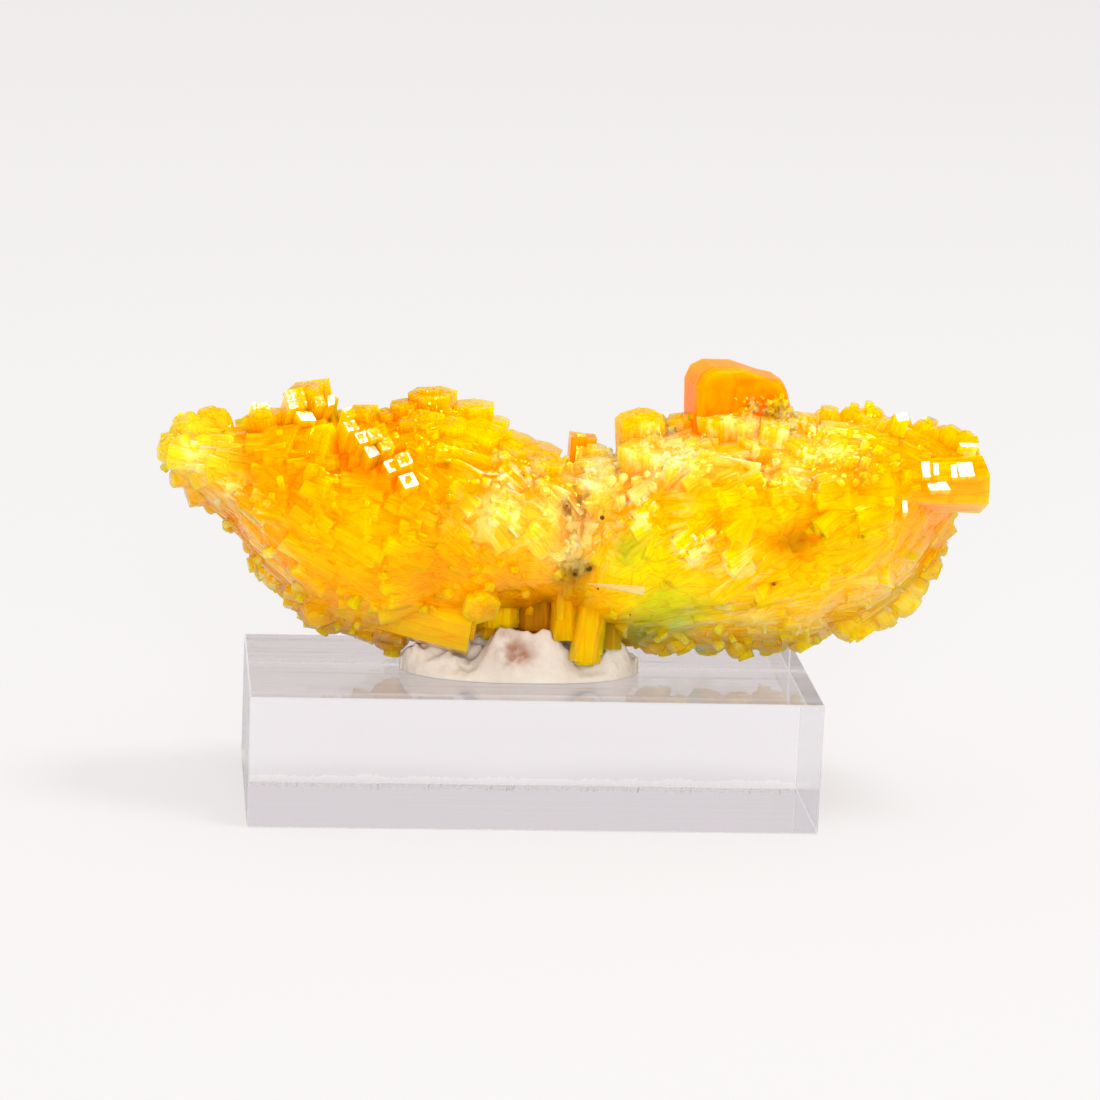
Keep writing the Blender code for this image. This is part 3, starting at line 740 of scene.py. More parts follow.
GLINTS = (
    Glint((6.53, -5.9, 19.85), 0.66, 0.8),
    Glint((19.85, -4.75, 19.4), 0.42, 2.3, 45.0),
    Glint((20.38, -4.7, 19.42), 0.26, 2.9, 45.0),
    Glint((21.36, -4.6, 19.3), 0.3, 2.6, 45.0),
    Glint((21.98, -4.55, 19.4), 0.8, 1.1, 52.0),
    Glint((20.5, -4.95, 18.58), 1.1, 0.45, 58.0),
    Glint((18.72, -5.5, 17.56), 0.24, 3.0, 45.0),
    Glint((22.61, -1.7, 20.08), 0.9, 0.25, 50.0),
    Glint((18.7, -3.3, 21.86), 0.6, 0.8, 58.0),
    Glint((-12.9, -2.8, 22.06), 0.95, 1.2, 70.0),
    Glint((-11.7, -2.9, 21.98), 0.5, 1.2, 70.0),
    Glint((-11.1, -2.6, 21.96), 0.35, 1.8, 70.0),
    Glint((-12.4, -3.6, 21.3), 0.85, 0.6, 70.0),
    Glint((-14.64, -2.2, 21.35), 0.9, 0.7, 66.0),
)


def stair(place: Triple, width: float, length: float = 4.0) -> Crystal:
    """One bright step of the stair on the left wing."""
    return Glint(place, width, length=length, taper=0.78).crystal()


def amber(place: Triple, axis: Triple, sizes: Pair, shape: Pair, colour: Triple = (226, 150, 4)) -> Crystal:
    """A prism of the row between the wings: length and width, thickness share and turn, and colour."""
    return Crystal(place, axis, *sizes, *shape, colour=colour, colour_share=0.85, kept=True)


LEFT_FRONT = (
    Crystal((-18.3, -3.2, 19.3), (-0.8, -0.5, 0.3), 4.5, 2.1, 0.8, 10),
    Crystal((-16.4, -3.4, 18.0), (-0.9, -0.5, 0.1), 5.0, 2.3, 0.9, 25),
    Crystal((-14.0, -4.4, 20.1), (-0.5, -0.45, 0.75), 5.0, 2.3, 0.9, 8, 4),
    Crystal((-12.4, -5.2, 20.1), (-0.45, -0.6, 0.65), 5.0, 2.5, 0.9, 12, 4),
    Crystal((-11.7, -5.9, 18.0), (-0.5, -0.8, 0.2), 4.5, 2.0, 0.9, 10, 4),
    stair((-10.25, -4.7, 21.8), 0.5, 3.5),
    stair((-10.15, -5.2, 21.2), 0.6, 3.5),
    stair((-9.55, -5.4, 20.65), 0.65),
    stair((-8.95, -5.4, 20.85), 0.65),
    stair((-8.35, -5.7, 20.4), 0.7),
    stair((-9.05, -5.8, 20.05), 0.7),
    stair((-7.45, -6.1, 19.7), 0.75),
    stair((-8.05, -6.1, 19.35), 0.7),
    stair((-7.2, -6.6, 18.7), 0.8),
    Crystal((-6.4, -3.9, 21.4), (-0.15, -0.6, 0.8), 4.0, 1.7, 0.9, 5, 4),
    Crystal((-4.9, -4.0, 21.2), (0.0, -0.6, 0.8), 4.0, 1.6, 0.9, 30),
    Crystal((-3.1, -3.5, 20.8), (0.15, -0.6, 0.8), 4.5, 2.2, 0.9, 12, 4),
    Crystal((-1.4, -3.6, 20.1), (0.25, -0.6, 0.75), 4.5, 2.0, 0.9, 0),
    Crystal((0.3, -3.7, 19.3), (0.2, -0.7, 0.7), 4.0, 1.8, 0.9, 20),
    Crystal((-8.4, -5.9, 16.2), (-0.75, -0.6, 0.15), 5.5, 2.6, 0.8, 22),
    Crystal((-5.0, -5.7, 16.4), (-0.5, -0.8, 0.3), 5.0, 2.4, 0.8, 10),
    Crystal((-3.0, -5.0, 11.5), (0.1, -0.9, -0.3), 4.0, 1.8, 0.9, 0),
)

ORANGE = {"colour": (255.0, 120.0, 0.0), "colour_share": 0.95, "kept": True}
MIDDLE = (
    replace(Crystal((2.5, 1.4, 19.5), (0.1, 0.0, 1.0), 3.0, 1.4, 0.9, 45, 4), **ORANGE),
    Crystal((3.3, 0.3, 19.05), (0.2, -0.1, 1.0), 3.0, 1.4, 0.9, 25),
    amber((-1.8, -0.7, 9.5), (0.0, -0.1, -1.0), (3.5, 2.0), (0.8, 0), (255, 184, 4)),
    amber((0.3, -0.8, 9.4), (0.0, -0.1, -1.0), (3.5, 1.9), (0.8, 12), (146, 88, 8)),
    amber((-1.9, 0.2, 8.7), (-0.1, 0.0, -1.0), (3.0, 1.9), (0.9, 5)),
    amber((0.6, 0.4, 8.6), (0.1, 0.0, -1.0), (3.0, 2.0), (0.9, 20)),
    amber((1.6, -1.8, 9.1), (0.0, -0.2, -1.0), (3.5, 1.4), (0.9, 10), (240, 160, 4)),
    amber((2.65, -2.5, 8.1), (-0.12, -0.2, -1.0), (4.5, 1.5), (0.8, 8), (232, 164, 8)),
    amber((4.1, -2.0, 8.7), (0.0, -0.2, -1.0), (3.5, 1.0), (0.9, 20), (132, 104, 10)),
    amber((5.3, 0.4, 8.9), (0.1, 0.0, -1.0), (3.0, 1.3), (0.9, 0), (112, 108, 6)),
)

RIGHT_WING = (
    Crystal((5.3, -1.0, 21.2), (0.0, -0.1, 1.0), 4.0, 2.6, 0.8, 40, 7, Ending.BEVELLED, kept=True),
    Crystal((7.3, -1.0, 21.15), (-0.2, -0.1, 1.0), 3.0, 1.3, 0.9, 30, 4),
    Crystal((14.0, -0.6, 21.15), (0.1, -0.1, 1.0), 3.0, 1.8, 0.9, 0),
    Crystal((15.3, -0.4, 21.55), (0.1, -0.1, 1.0), 3.0, 1.6, 0.9, 20),
    Crystal((16.7, -0.4, 21.65), (0.15, -0.1, 1.0), 3.0, 1.6, 0.9, 5),
    Crystal((17.7, -0.4, 21.75), (0.2, -0.1, 1.0), 3.0, 1.3, 0.9, 15),
    Crystal((19.2, -0.6, 21.35), (0.25, -0.1, 1.0), 3.0, 1.3, 0.9, 0, 4),
    Crystal((20.8, -0.4, 20.95), (0.4, -0.1, 1.0), 3.0, 1.7, 0.9, 10),
    Crystal((22.0, -0.4, 20.65), (0.5, -0.1, 0.9), 3.0, 1.5, 0.9, 25, 4),
    Crystal((23.2, -0.4, 20.1), (1.0, -0.1, 0.35), 4.0, 1.3, 0.9, 0, 4),
    Crystal((23.5, -0.2, 19.3), (1.0, -0.1, 0.1), 4.0, 1.1, 0.9, 0, 4),
    Crystal((23.1, -3.2, 18.3), (1.0, 0.15, 0.0), 5.5, 2.7, 1.0, -2.0, kept=True),
    Crystal((22.2, -0.4, 15.4), (1.0, -0.1, -0.1), 4.0, 1.5, 0.9, 0, 4),
    Crystal((21.6, -0.6, 14.2), (1.0, -0.1, -0.2), 4.0, 1.4, 0.9, 20),
    Crystal((21.7, -0.6, 13.0), (1.0, -0.1, -0.3), 4.0, 1.5, 0.9, 5),
    Crystal((21.0, -0.6, 11.8), (0.9, -0.1, -0.5), 4.0, 1.6, 0.9, 15),
    Crystal((20.5, -0.6, 10.8), (0.9, -0.1, -0.7), 4.0, 1.9, 0.9, 0),
    Crystal((19.2, -0.6, 9.9), (0.7, -0.1, -0.9), 3.5, 2.0, 0.9, 20),
    Crystal((17.7, -1.1, 9.5), (0.6, -0.3, -0.8), 4.0, 2.6, 0.8, 10),
    Crystal((15.8, 0.6, 9.0), (0.3, 0.2, -0.9), 4.0, 2.0, 0.9, 25),
    Crystal((14.7, -0.9, 8.6), (0.5, -0.3, -0.8), 4.0, 1.6, 0.9, 5, 4),
    Crystal((13.1, 0.5, 8.1), (0.1, 0.2, -1.0), 4.0, 2.3, 0.8, 15),
    Crystal((11.3, -0.9, 8.1), (0.35, -0.3, -0.9), 4.0, 1.5, 0.9, 0, 4),
    Crystal((9.7, 0.3, 8.1), (0.1, 0.2, -1.0), 4.0, 2.2, 0.9, 20),
    Crystal((8.2, -1.0, 8.4), (0.4, -0.3, -0.9), 4.0, 1.7, 0.9, 8, 4),
    Crystal((6.8, 0.2, 8.0), (0.2, 0.1, -1.0), 4.0, 1.9, 0.9, 28),
)

RIGHT_FRONT = (
    Crystal((5.6, -3.7, 20.1), (0.0, -0.7, 0.7), 4.5, 2.5, 0.9, 5, 4),
    Crystal((8.0, -4.1, 20.0), (0.1, -0.8, 0.6), 4.5, 2.2, 0.9, 12),
    Crystal((11.3, -4.0, 20.7), (0.2, -0.7, 0.7), 4.5, 2.4, 0.9, 25),
    Crystal((13.8, -4.4, 20.4), (0.3, -0.7, 0.6), 4.5, 2.1, 0.9, 5, 4),
    Crystal((8.9, -3.6, 21.8), (-0.1, -0.55, 0.8), 3.5, 1.7, 0.9, 8),
    Crystal((10.4, -3.6, 21.7), (0.0, -0.6, 0.8), 3.5, 1.8, 0.9, 22),
    Crystal((12.0, -3.5, 21.4), (0.1, -0.6, 0.8), 3.5, 1.5, 0.9, 40, 4),
    Crystal((12.2, -5.0, 17.7), (0.75, -0.3, 0.4), 5.0, 2.9, 0.9, 10),
    Crystal((18.6, -4.4, 18.7), (0.75, -0.45, 0.4), 6.0, 2.9, 0.9, 18),
    Crystal((20.4, -3.4, 16.4), (0.9, -0.4, 0.15), 6.0, 2.8, 0.8, 0),
    Crystal((18.6, -4.9, 14.4), (0.9, -0.4, 0.0), 6.0, 2.6, 0.8, 12),
)

TABLET_OUTLINE = (
    (-2.55, -2.6),
    (-2.65, 0.3),
    (-2.35, 1.0),
    (-1.7, 1.32),
    (-0.2, 1.28),
    (1.35, 0.75),
    (2.05, 0.6),
    (2.35, 0.1),
    (2.6, -0.8),
    (2.3, -2.6),
)

TACK_BUMPS = (
    Bump(-5.3, -0.9, 1.5, 1.5, 1.1),
    Bump(-1.3, -2.3, 1.6, 1.2, 3.0),
    Bump(0.6, -2.1, 1.5, 1.2, 2.3),
    Bump(4.4, -1.2, 1.1, 1.3, 1.2),
    Bump(-0.5, 1.1, 4.6, 1.9, 1.7),
)


def ball(place: Triple, width: float) -> Crystal:
    """A small clear ball of the middle."""
    return Crystal(place, (0.1, -0.8, 0.5), 0.8, width, 1.0, 0, 12, Ending.DOMED, 0.9, (255, 232, 120), 0.5)


BLADE = replace(
    Crystal((5.3, -5.75, 12.85), (1.0, 0.0, -0.12), 3.0, 0.46, 0.35, 20, 6, Ending.BEVELLED, 0.15),
    colour=(255, 226, 120),
    colour_share=0.75,
)
FLAKE = replace(
    Crystal((0.8, -4.7, 14.6), (0.35, -0.8, 0.5), 0.9, 1.1, 0.8, 10, 9, Ending.FLAT, 0.7),
    colour=(255, 226, 110),
    colour_share=0.4,
)
SINGLES = (BLADE, FLAKE, ball((3.5, -4.6, 18.55), 0.5), ball((4.1, -4.6, 18.7), 0.45))

# Small dark specks in the crystals: place across and up as the photograph sees it, and width.
SPECKS = (
    (-17.44, 16.34, 0.2),
    (3.48, 15.39, 0.26),
    (2.91, 12.65, 0.32),
    (2.2, 12.3, 0.22),
    (3.44, 11.57, 0.12),
    (1.6, 16.0, 0.16),
    (12.6, 12.0, 0.16),
    (5.2, 10.2, 0.1),
)


@dataclass(frozen=True)
class Zone:
    """A soft-edged oval of colour on the cluster, placed as the photograph sees it.

    Attributes:
        place: Middle, across and up.
        radii: Reach across and up.
        strength: Share of the zone at the middle.
        colour: Display colour, 0 to 255, where the zone gives one.
    """

    place: Pair
    radii: Pair
    strength: float
    colour: Triple = (0.0, 0.0, 0.0)

    def weight(self, across: np.ndarray, up: np.ndarray) -> np.ndarray:
        """Share of the zone at each place: a bell that stays flat near the middle."""
        away = ((across - self.place[0]) / self.radii[0]) ** 2 + ((up - self.place[1]) / self.radii[1]) ** 2
        return self.strength * np.exp(-(away**1.5))


# Colour ovals; those marked below are painted shade in a crease, hollows and a slit.
ZONES = (
    Zone((-18.2, 18.6), (2.6, 2.2), 0.9, (252, 226, 30)),
    Zone((-11.9, 18.2), (1.5, 2.0), 0.9, (255, 158, 0)),
    Zone((-12.4, 20.6), (2.2, 1.4), 0.7, (255, 196, 0)),
    Zone((-9.6, 15.0), (4.4, 3.0), 0.8, (255, 182, 0)),
    # Painted shade: darker orange along the crease and hollow low on the left wing.
    Zone((-5.8, 12.4), (3.0, 0.9), 0.75, (238, 160, 0)),
    Zone((-2.6, 20.2), (2.6, 1.6), 0.9, (255, 210, 0)),
    Zone((-7.0, 9.9), (4.4, 1.1), 0.85, (255, 184, 0)),
    Zone((-7.8, 8.2), (1.8, 0.6), 0.8, (220, 155, 5)),
    Zone((-1.2, 15.2), (2.2, 1.3), 0.6, (250, 208, 50)),
    Zone((2.3, 14.6), (1.3, 1.8), 0.95, (204, 164, 56)),
    Zone((1.3, 13.3), (1.0, 0.9), 0.7, (222, 184, 70)),
    Zone((3.3, 17.6), (1.4, 1.6), 0.7, (252, 224, 60)),
    Zone((6.6, 18.6), (2.2, 1.4), 0.65, (253, 224, 70)),
    Zone((5.8, 12.9), (2.8, 1.9), 0.85, (236, 214, 0)),
    Zone((4.9, 13.6), (1.0, 1.1), 0.85, (186, 198, 24)),
    Zone((7.4, 10.4), (2.3, 1.7), 0.9, (198, 214, 16)),
    Zone((5.8, 9.2), (1.2, 0.9), 0.95, (158, 160, 10)),
    Zone((8.0, 9.6), (0.42, 0.42), 1.0, (90, 205, 120)),
    Zone((9.1, 8.2), (0.45, 0.25), 0.9, (110, 210, 150)),
    Zone((-1.4, 10.0), (1.8, 0.8), 0.9, (214, 142, 0)),
    Zone((0.6, 10.0), (0.7, 1.0), 0.95, (158, 98, 0)),
    Zone((2.3, 10.9), (1.2, 1.0), 0.85, (216, 158, 0)),
    Zone((4.0, 9.0), (0.6, 0.9), 0.9, (120, 96, 5)),
    Zone((1.9, 15.9), (0.7, 0.6), 0.9, (120, 90, 50)),
    Zone((2.4, 12.6), (0.9, 0.6), 0.9, (110, 78, 24)),
    Zone((1.9, 11.9), (1.1, 0.4), 0.5, (110, 75, 10)),
    # Painted shade: darker orange in the two hollows of the right wing.
    Zone((10.9, 18.5), (0.9, 0.6), 0.9, (206, 138, 0)),
    Zone((13.4, 14.2), (1.4, 0.8), 0.9, (196, 136, 0)),
    # Painted shade: a dark streak in the slit below them.
    Zone((12.6, 11.9), (0.25, 0.5), 0.9, (150, 95, 0)),
    Zone((20.6, 15.2), (1.7, 1.9), 0.85, (255, 176, 0)),
    Zone((17.0, 20.6), (2.4, 1.0), 0.8, (255, 190, 0)),
    Zone((19.2, 11.6), (2.4, 1.5), 0.6, (255, 200, 10)),
    Zone((23.2, 17.6), (0.6, 1.4), 0.8, (250, 150, 0)),
    Zone((12.0, 9.3), (3.2, 0.9), 0.55, (255, 210, 20)),
    Zone((13.6, 19.0), (2.8, 1.6), 0.5, (254, 216, 30)),
)
LEFT_BASE = (255.0, 172.0, 0.0)
RIGHT_BASE = (255.0, 190.0, 0.0)

FROST = (
    Zone((-18.1, 18.3), (0.9, 1.0), 1.0),
    Zone((-16.3, 16.3), (1.3, 0.9), 0.8),
    Zone((-14.6, 14.6), (1.2, 1.0), 0.5),
    Zone((-1.2, 15.2), (2.6, 1.4), 0.75),
    Zone((-1.2, 17.6), (1.6, 0.9), 0.8),
    Zone((2.4, 14.6), (1.8, 2.6), 0.6),
    Zone((3.3, 17.8), (1.5, 1.7), 1.0),
    Zone((6.6, 18.9), (2.3, 1.5), 1.0),
    Zone((5.8, 15.8), (1.7, 1.4), 0.9),
    Zone((8.2, 13.8), (1.0, 1.0), 1.0),
    Zone((9.8, 21.0), (2.4, 0.9), 0.8),
    Zone((13.4, 19.4), (3.0, 1.7), 0.9),
    Zone((18.9, 11.6), (2.8, 1.6), 0.45),
    Zone((15.0, 10.6), (2.2, 1.0), 0.35),
    Zone((11.0, 9.8), (3.2, 1.2), 0.5),
    Zone((10.6, 12.6), (1.6, 1.0), 0.5),
    Zone((-13.6, 11.6), (1.4, 1.6), 0.6),
)

GLITTER = (
    Zone((-6.5, 20.3), (2.2, 1.9), 0.8),
    Zone((-0.6, 17.8), (2.0, 1.0), 0.8),
    Zone((-2.2, 16.4), (0.9, 1.1), 1.0),
    Zone((3.3, 18.0), (1.4, 1.8), 0.9),
    Zone((6.6, 18.9), (2.3, 1.7), 0.9),
    Zone((9.7, 21.6), (2.2, 0.8), 1.0),
    Zone((12.0, 20.4), (1.8, 1.0), 0.9),
    Zone((14.2, 18.5), (2.4, 1.4), 0.9),
    Zone((17.8, 18.4), (1.1, 0.9), 0.9),
    Zone((8.2, 13.8), (1.1, 1.1), 1.0),
    Zone((-2.4, 10.6), (0.8, 0.6), 0.9),
    Zone((-14.5, 20.0), (1.0, 1.0), 0.8),
    Zone((-12.0, 21.8), (1.0, 0.9), 0.9),
    Zone((-9.3, 20.6), (0.7, 0.6), 0.8),
    Zone((15.0, 12.4), (1.0, 0.8), 0.6),
    Zone((5.8, 15.8), (1.6, 1.4), 0.5),
    Zone((2.4, 14.4), (1.4, 2.0), 0.6),
)


@dataclass
class Core:
    """The lumpy mass inside the cluster that every crystal grows from."""

    stations: tuple[Station, ...] = CORE
    around: int = 28
    squareness: float = 2.4
    foot_share: float = 0.42
    full_rise: float = 0.55
    swell: float = 0.8
    lump: float = 0.28
    back_fall: float = 0.38
    angles_tried: int = 400
    rounds_tried: int = 4

    def row(self, name: str) -> np.ndarray:
        """One measure of every station."""
        return np.array([getattr(station, name) for station in self.stations])

    def at(self, along: np.ndarray, angle: np.ndarray) -> np.ndarray:
        """Points of the surface: at each place along X an oval between foot, crown, front and back.

        The oval is a superellipse, narrower towards its foot, moved by a product of two sine waves.

        Args:
            along: Places along X.
            angle: Angles round it, zero at the crown.

        Returns:
            The points.
        """
        x = np.asarray(along, float)
        xs = self.row("x")
        low, high, front, back = (np.interp(x, xs, self.row(n)) for n in ("low", "high", "front", "back"))
        power = 2.0 / self.squareness
        up = np.sign(np.cos(angle)) * np.abs(np.cos(angle)) ** power
        out = np.sign(np.sin(angle)) * np.abs(np.sin(angle)) ** power
        rise = 0.5 + 0.5 * up
        spread = self.foot_share + (1.0 - self.foot_share) * np.clip(rise / self.full_rise, 0.0, 1.0)
        y = np.where(out < 0, -out * (front - self.swell), out * (back + self.swell)) * spread
        z = low + (high - low) * rise
        lump = self.lump * np.sin(1.7 * x + 2.3 * angle) * np.sin(0.9 * x - 3.1 * angle)
        for hollow in HOLLOWS:
            away = ((x - hollow.x) ** 2 + (z - hollow.z) ** 2) / hollow.radius**2
            y = np.where(y < 0, y + hollow.depth * np.exp(-away), y)
        fall = self.back_fall * np.maximum(y, 0.0) * rise
        return np.stack([x, y + lump * np.sign(y), z + 0.5 * lump - fall], axis=-1)

    def seen(self, across: float, up: float) -> np.ndarray:
        """The place on the front that the photograph shows at a spot, picked from many angles round the core.

        Args:
            across: The spot's place across, as seen.
            up: The spot's place up, as seen.

        Returns:
            The place in millimetres.
        """
        angles = np.linspace(math.pi, math.tau, self.angles_tried)
        along = across
        for _ in range(self.rounds_tried):
            points = self.at(np.full(self.angles_tried, along), angles)
            gap = np.abs(points[:, 2] - VIEW_RISE * np.abs(points[:, 1]) - up)
            place = points[gap.argmin()]
            along = across - VIEW_SLIDE * abs(place[1])
        return place

    def outward(self, points: np.ndarray) -> np.ndarray:
        """Directions out of the smooth body near each point: the slope of its superellipse.

        With a and b the half sizes and m and n the middles across and up, the slope of
        |(y - m) / a| ** p + |(z - n) / b| ** p is taken along X, Y and Z.

        Args:
            points: Places in millimetres.

        Returns:
            Unit vectors.
        """
        xs = self.row("x")
        sizes = np.stack([
            0.5 * (self.row("back") - self.row("front")) + self.swell,
            0.5 * (self.row("high") - self.row("low")) + 0.5,
            0.5 * (self.row("back") + self.row("front")),
            0.5 * (self.row("high") + self.row("low")),
        ])
        slopes = np.gradient(sizes, xs, axis=1)
        a, b, m, n = (np.interp(points[:, 0], xs, row) for row in sizes)
        da, db, dm, dn = (np.interp(points[:, 0], xs, row) for row in slopes)
        y = (points[:, 1] - m) / a
        z = (points[:, 2] - n + 0.5 * self.back_fall * np.maximum(points[:, 1], 0.0)) / b
        across = np.sign(y) * np.abs(y) ** (self.squareness - 1.0) / a
        up = np.sign(z) * np.abs(z) ** (self.squareness - 1.0) / b
        middle = 0.5 * (xs[0] + xs[-1])
        end = 0.6 * ((points[:, 0] - middle) / (xs[-1] - middle)) ** 9
        along = end - across * (y * da + dm) - up * (z * db + dn)
        found = np.column_stack([along, across, up])
        return found / np.linalg.norm(found, axis=1, keepdims=True)

    def frame_at(self, along: float, angle: float) -> tuple[np.ndarray, np.ndarray]:
        """A point of the surface and the way out of it.

        Args:
            along: Place along X.
            angle: Angle round it, zero at the crown.

        Returns:
            The point, and the direction straight out of it.
        """
        spot = self.at(along, angle)
        outward = unit(np.cross(self.at(along + 0.3, angle) - spot, self.at(along, angle + 0.1) - spot))
        return spot, outward * np.sign(outward @ (spot - self.at(along, angle + math.pi)))


@dataclass
class Body:
    """The grown-together mass that every crystal stands in."""

    core: Core
    along: int = 190
    front_around: int = 100
    back_around: int = 50
    waves: tuple[Triple, ...] = ((2.9, 4.3, 0.10), (5.3, -7.9, 0.06), (9.7, 13.1, 0.035))

    def build(self) -> Object:
        """The core's surface as a grid, finer at the front, moved out by crossed sine waves.

        Returns:
            The body.
        """
        xs = np.linspace(self.core.stations[0].x, self.core.stations[-1].x, self.along)
        back = np.linspace(0.0, math.pi, self.back_around, endpoint=False)
        front = np.linspace(math.pi, math.tau, self.front_around, endpoint=False)
        x, angle = np.meshgrid(xs, np.concatenate([back, front]), indexing="ij")
        points = self.core.at(x, angle)
        rough = sum(
            high * np.sin(a * x + b * angle) * np.sin(a * x - 0.7 * b * angle) for a, b, high in self.waves
        )
        points[..., 1] += rough * np.sign(points[..., 1])
        points[..., 2] += 0.5 * rough
        around = self.back_around + self.front_around
        made = new_object(
            "cluster_body", points.reshape(-1, 3), ring_faces(self.along, around), smooth=True, turned=False
        )
        grain = (loop_points(made.data) - GROWTH_CENTRE) * (0.5, 3.0, 3.0)
        store_looks(made.data, grain, 0.0, Crystal((0, 0, 0), (0, 0, 1), 1.0, 1.0))
        return made


@dataclass
class Shingles:
    """Prisms that lie along the body, sunk until only their upper sides and ends show as low steps."""

    core: Core
    count: int = 2600
    front_share: float = 0.74
    widths: Pair = (0.3, 1.25)
    lengths: Pair = (1.2, 3.4)
    rises: Pair = (-0.06, 0.05)
    scatter: float = 0.2
    steepness: float = 0.02
    turn_scatter: float = 5.0
    thicks: Pair = (0.5, 0.9)
    tapers: Pair = (0.85, 1.0)
    four_sided_share: float = 0.35
    bevelled_share: float = 0.3
    seed: int = 4

    def grow(self) -> list[Crystal]:
        """One prism at each random place, a flat side turned outwards, its axis away from the growth centre.

        Returns:
            The prisms.
        """
        rng = np.random.default_rng(self.seed)
        first, last = self.core.stations[0].x + 0.6, self.core.stations[-1].x - 0.6
        found = []
        for _ in range(self.count):
            half = math.pi if rng.random() < self.front_share else 0.0
            spot, out = self.core.frame_at(rng.uniform(first, last), half + rng.uniform(0.0, math.pi))
            away = spot - GROWTH_CENTRE
            flat = unit(away - (away @ out) * out)
            aside = rng.normal(0.0, self.scatter, 3)
            axis = unit(flat + aside - (aside @ out) * out + self.steepness * rng.normal() * out)
            width = self.widths[0] + (self.widths[1] - self.widths[0]) * rng.random() ** 1.6
            length = rng.uniform(*self.lengths) * (0.6 + 0.4 * width / self.widths[1])
            thick = rng.uniform(*self.thicks)
            sides = square_or_six(rng, self.four_sided_share)
            facing = Crystal((0, 0, 0), tuple(axis), 1.0, 1.0)
            _, side, other = facing.basis()
            turn = math.degrees(math.atan2(out @ other, out @ side)) + 180.0 / sides
            depth = 0.5 * width * thick
            tip = spot + out * (rng.uniform(*self.rises) - depth) + axis * 0.5 * length
            turn += rng.normal(0.0, self.turn_scatter)
            ending = bevelled_or_flat(rng, self.bevelled_share)
            taper = rng.uniform(*self.tapers)
            found.append(Crystal(tuple(tip), tuple(axis), length, width, thick, turn, sides, ending, taper))
        return found


@dataclass
class Fan:
    """Medium crystals spread evenly over the core, lying outwards along it like a fan."""

    core: Core
    count: int = 150
    widths: Pair = (1.3, 2.7)
    lengths: Pair = (3.6, 5.0)
    rise: float = 0.1
    sink: float = 0.66
    crown_share: float = 0.25
    steepness: float = 0.03
    scatter: float = 0.05
    thicks: Pair = (0.7, 1.0)
    four_sided_share: float = 0.4
    over_crown: float = 0.35
    under_foot: float = 0.1
    front_line: float = -1.0
    seed: int = 7

    def inside_outline(self, crystal: Crystal) -> Crystal:
        """Keeps a crystal inside the outline that the front view has.

        Args:
            crystal: The crystal.

        Returns:
            The same, moved up or down until it is inside.
        """
        points = crystal.points()
        seen = points[:, 2] + VIEW_RISE * points[:, 1]
        xs = self.core.row("x")
        low = np.interp(points[:, 0], xs, self.core.row("low")) - self.under_foot
        high = np.interp(points[:, 0], xs, self.core.row("high")) + self.over_crown
        drop = max(0.0, float((seen - high).max()))
        lift = max(0.0, float((low - seen).max()))
        x, y, z = crystal.tip
        return replace(crystal, tip=(x, y, z - drop + lift))

    def grow(self) -> list[Crystal]:
        """Places the crystals by the golden angle, so that none crowd together.

        Returns:
            Those that stand behind the front line, which is left to the shingles.
        """
        rng = np.random.default_rng(self.seed)
        first, last = self.core.stations[1].x, self.core.stations[-2].x
        found = []
        for index in range(self.count):
            along = first + (last - first) * ((index + 0.5) / self.count)
            angle = index * math.pi * (3.0 - math.sqrt(5.0))
            spot, outward = self.core.frame_at(along, angle)
            away = spot - GROWTH_CENTRE
            flat = unit(away - (away @ outward) * outward)
            axis = unit(flat + self.steepness * outward + rng.normal(0.0, self.scatter, 3))
            crown = self.crown_share + (1.0 - self.crown_share) * abs(math.sin(angle))
            rise = self.rise * crown * rng.uniform(0.4, 1.0)
            length = rng.uniform(*self.lengths)
            width = rng.uniform(*self.widths) * (0.75 + 0.25 * crown)
            tip = spot + outward * (rise - self.sink * width)
            if spot[1] < self.front_line:
                continue
            thick, turn = rng.uniform(*self.thicks), rng.uniform(0.0, 60.0)
            sides = square_or_six(rng, self.four_sided_share)
            grown = Crystal(tuple(tip), tuple(axis), length, width, thick, turn, sides)
            found.append(self.inside_outline(grown))
        return found


